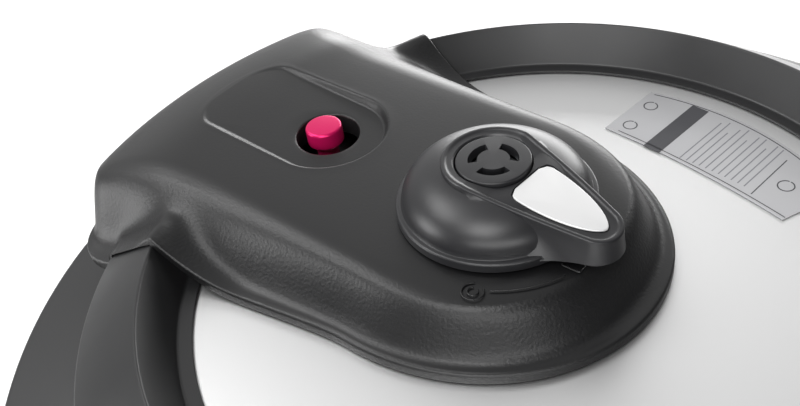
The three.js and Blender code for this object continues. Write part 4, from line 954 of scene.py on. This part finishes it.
def pointer_outline():
    """Hull of the plateau's circle and the tip's circle, its straight sides bowed out by 0.4 mm."""
    lean = math.degrees(math.asin((plateau_radius - tip_radius) / tip_reach))
    back = arc(plateau_radius, 90, -lean, 40)
    tip = arc(tip_radius, -lean, -90, 28) - (0, tip_reach)
    share = np.linspace(0, 1, 40)[1:-1, None]
    side = back[-1] * (1 - share) + tip[0] * share
    side[:, :1] += 0.4 * np.sin(math.pi * share)
    half = np.concatenate((back, side, tip))
    half[0, 0] = half[-1, 0] = 0
    return np.concatenate((half, half[-2:0:-1] * (-1, 1)))


def arm_top(y):
    """Flat over the plateau, then falling towards the tip."""
    return knob_height + arm_slope * np.minimum(0, y)


plan = pointer_outline()
spine = np.column_stack((np.zeros(len(plan)), np.clip(plan[:, 1], -tip_reach, 0)))
to_spine = spine - plan
to_spine_length = np.hypot(*to_spine.T)[:, None]
to_spine /= to_spine_length
behind = -plan[:, 1]
blur = np.hanning(13) / np.hanning(13).sum()


def along_arm(values):
    """Spreads values given at six places along the arm over its whole outline, softened."""
    spread = np.interp(behind, (3, 10.6, 20.8, 27, 33, 39.7), values)
    return np.convolve(np.concatenate((spread[-6:], spread, spread[:6])), blur, "valid")


flare_size = along_arm((0, 4.6, 5.8, 2.4, 0.9, 0.5))
flare_depth = along_arm((0.5, 2.2, 8.5, 9, 8, 7))
arm_rows = []
arm_floor, edge_drop, rim_sink = 1.6, 0.5, 0.48
for share in np.linspace(1, 0, 15):
    depth = share * (arm_top(plan[:, 1]) - edge_drop - arm_floor)
    near, far = np.minimum(depth / flare_depth, 1) ** 2, np.maximum(0, depth - flare_depth)
    out = flare_size * near + 0.25 * far * (flare_size > 0.3)
    xy = plan - to_spine * out[:, None]
    arm_rows.append(np.column_stack((xy, arm_top(plan[:, 1]) - edge_drop - depth)))
raised_rim = (
    (0.04, 0.3), (0.15, 0.12), (0.35, 0.02), (0.6, 0.0), (1.0, 0.0), (1.25, 0.06), (1.5, 0.25),
    (1.75, 0.42), (2.1, rim_sink),
)
for inset, sink in raised_rim:
    xy = plan + to_spine * inset
    arm_rows.append(np.column_stack((xy, arm_top(xy[:, 1]) - sink)))
for t in (0.4, 0.7, 1.0):
    xy = (plan + to_spine * raised_rim[-1][0]) * (1 - t) + spine * t
    arm_rows.append(np.column_stack((xy, arm_top(xy[:, 1]) - rim_sink)))
arm_base = np.column_stack((spine, np.full(len(spine), arm_floor)))
arm = make("pointer", np.stack([arm_base, *arm_rows]), False, True)

bulge = np.radians(np.linspace(2, 75, 25))
dome_arc = [(10.1 + 16 * math.cos(a), 3.3 + 10.6 * math.sin(a), 0) for a in bulge]
knob_corners = [
    (0, 0, 0), (knob_radius, 0, 0.3), (knob_radius, 2.8, 0.7), (dome_radius + 0.3, 2.9, 0.2), *dome_arc,
    (plateau_radius - 0.6, 13.6, 0), (0, 13.6, 0),
]
knob = turned("valve_knob_shell", knob_corners, segments=192, closed=False)
carve(knob, arm, "UNION")
hollow_corners = [(0, -1, 0), (25.3, -1, 0), (22.7, 5, 1), (19.9, 9.4, 1), (14, 11, 0.5), (0, 11, 0)]
carve(knob, turned("inner", hollow_corners, segments=100, closed=False))
cap_well_corners = [
    (0, 5, 0), (cap_hole, 5, 0), (cap_hole, knob_height - 0.9, 0.2),
    (cap_hole + 0.7, knob_height - 0.3, 0.1), (cap_hole + 0.7, 22, 0), (0, 22, 0),
]
carve(knob, turned("well", cap_well_corners, segments=96, closed=False))


def insert_outline(grow=0.0):
    """Half-width 8 (1 - t^2.2)^0.62 from the back to the tip, with 3 mm corners at the back."""
    back, reach = -11.3 + grow, 25.4 + 2 * grow
    t = 1 - (1 - np.linspace(0, 1, 46)) ** 1.8
    half = (8.0 + grow) * (1 - t ** 2.2) ** 0.62
    from_back = np.minimum(3, t * reach)
    half = half - 3 + np.sqrt(9 - (3 - from_back) ** 2)
    side = np.stack((half, back - t * reach), 1)
    side[-1, 0] = 0
    middle = np.stack((np.linspace(0, side[0, 0], 6)[:-1], np.full(5, back)), 1)
    right = np.concatenate((middle, side))
    return np.concatenate((right, right[-2:0:-1] * (-1, 1)))[::-1]


slope_place = Matrix.Translation((0, 0, knob_height / 1000)) @ Matrix.Rotation(math.atan(arm_slope), 4, "X")
insert_well = slab("well", insert_outline(0.28), -1.3, 4, 0.05)
carve(knob, settle(insert_well, slope_place), sharp=32)
# The knob's plastic is smoother than the handle's, so that it wipes clean: a soft broad highlight.
knob_nylon = grained_plastic("satin_glass_filled_nylon", "202022", 0.38, 0.35, 0.008)
dress(settle(knob, knob_place), knob_nylon, "valve_turner", "black_plastic", "valve_knob")

# ---- Lid: knob's vent cap and silver insert.
# A disc with three curved steam slots snaps into the knob's middle. The insert in the arm is
# moulded in ABS, painted silver and glued down with a fine gap round it.
cap_top = knob_height - 0.45
cap_radius = 10.3
cap_corners = [
    (0, cap_top - 3, 0), (cap_radius, cap_top - 3, 0.2), (cap_radius, cap_top, 0.45), (0, cap_top, 0),
]
cap = turned("vent_cap", cap_corners, segments=96, closed=False)
for middle in (98.5, 218.5, 338.5):
    outer, inner = arc(6.9, middle - 41, middle + 41), arc(4.4, middle + 41, middle - 41)
    slot_corners = [
        (*point, 0.5 if index in (0, len(side) - 1) else 0)
        for side in (outer, inner) for index, point in enumerate(side)
    ]
    carve(cap, slab("slot", rounded(slot_corners), cap_top - 4, cap_top + 1, 0.02))
dress(settle(cap, knob_place), knob_nylon, "valve_turner", "black_plastic", "valve_cap")
insert = settle(slab("silver_insert", insert_outline(), -0.6, 0.12, 0.35), slope_place)
# Silver lacquer on plastic: fine aluminium flake gives a bright, slightly grainy satin.
silver_lacquer, silver_tree, silver_shader = finish(
    "silver_flake_lacquer", "dedede", 0.4, 0.35, Coat_Weight=0.3, Coat_Roughness=0.2,
)
bumped(silver_tree, silver_shader, noise(silver_tree, object_place(silver_tree), 6000.0, 1.0), 0.2, 0.01)
dress(settle(insert, knob_place), silver_lacquer, "valve_turner", "silver_paint", "valve_insert")

# ---- Lid: float valve.
# A turned aluminium pin with a magenta anodised head drops when there's no pressure in the pot. A
# silicone washer on its foot seals it when it rises.
float_low, float_top = place_of("float_valve")[2:]
head_radius, stem_radius = 5.8, 3.5
float_height = float_top - float_low
float_corners = [
    (0, 0, 0), (stem_radius, 0, 0.2), (stem_radius, float_height - 7.5, 0.3),
    (head_radius, float_height - 5.5, 0.3), (head_radius, float_height, 0.9), (0, float_height, 0),
]
float_pin = turned("float_pin", float_corners, (float_x, float_y, float_low), 96, closed=False)
# Dyed anodised aluminium: deep magenta metal with faint turning rings.
anodised, anodised_tree, anodised_shader = finish("magenta_anodised_aluminium", "d4145f", 0.32, 0.55)
centred = add(
    anodised_tree, "ShaderNodeMapping", [("Location", (0, -float_y / 1000, 0))],
    [("Vector", object_place(anodised_tree))],
)
ring_settings = [("wave_type", "RINGS"), ("rings_direction", "Z"), ("Scale", 700.0), ("Distortion", 0.4)]
turning = add(anodised_tree, "ShaderNodeTexWave", ring_settings, [("Vector", centred.outputs[0])])
bumped(anodised_tree, anodised_shader, turning.outputs["Fac"], 0.12, 0.01)
dress(float_pin, anodised, "float", "magenta_anodised", "float_valve")
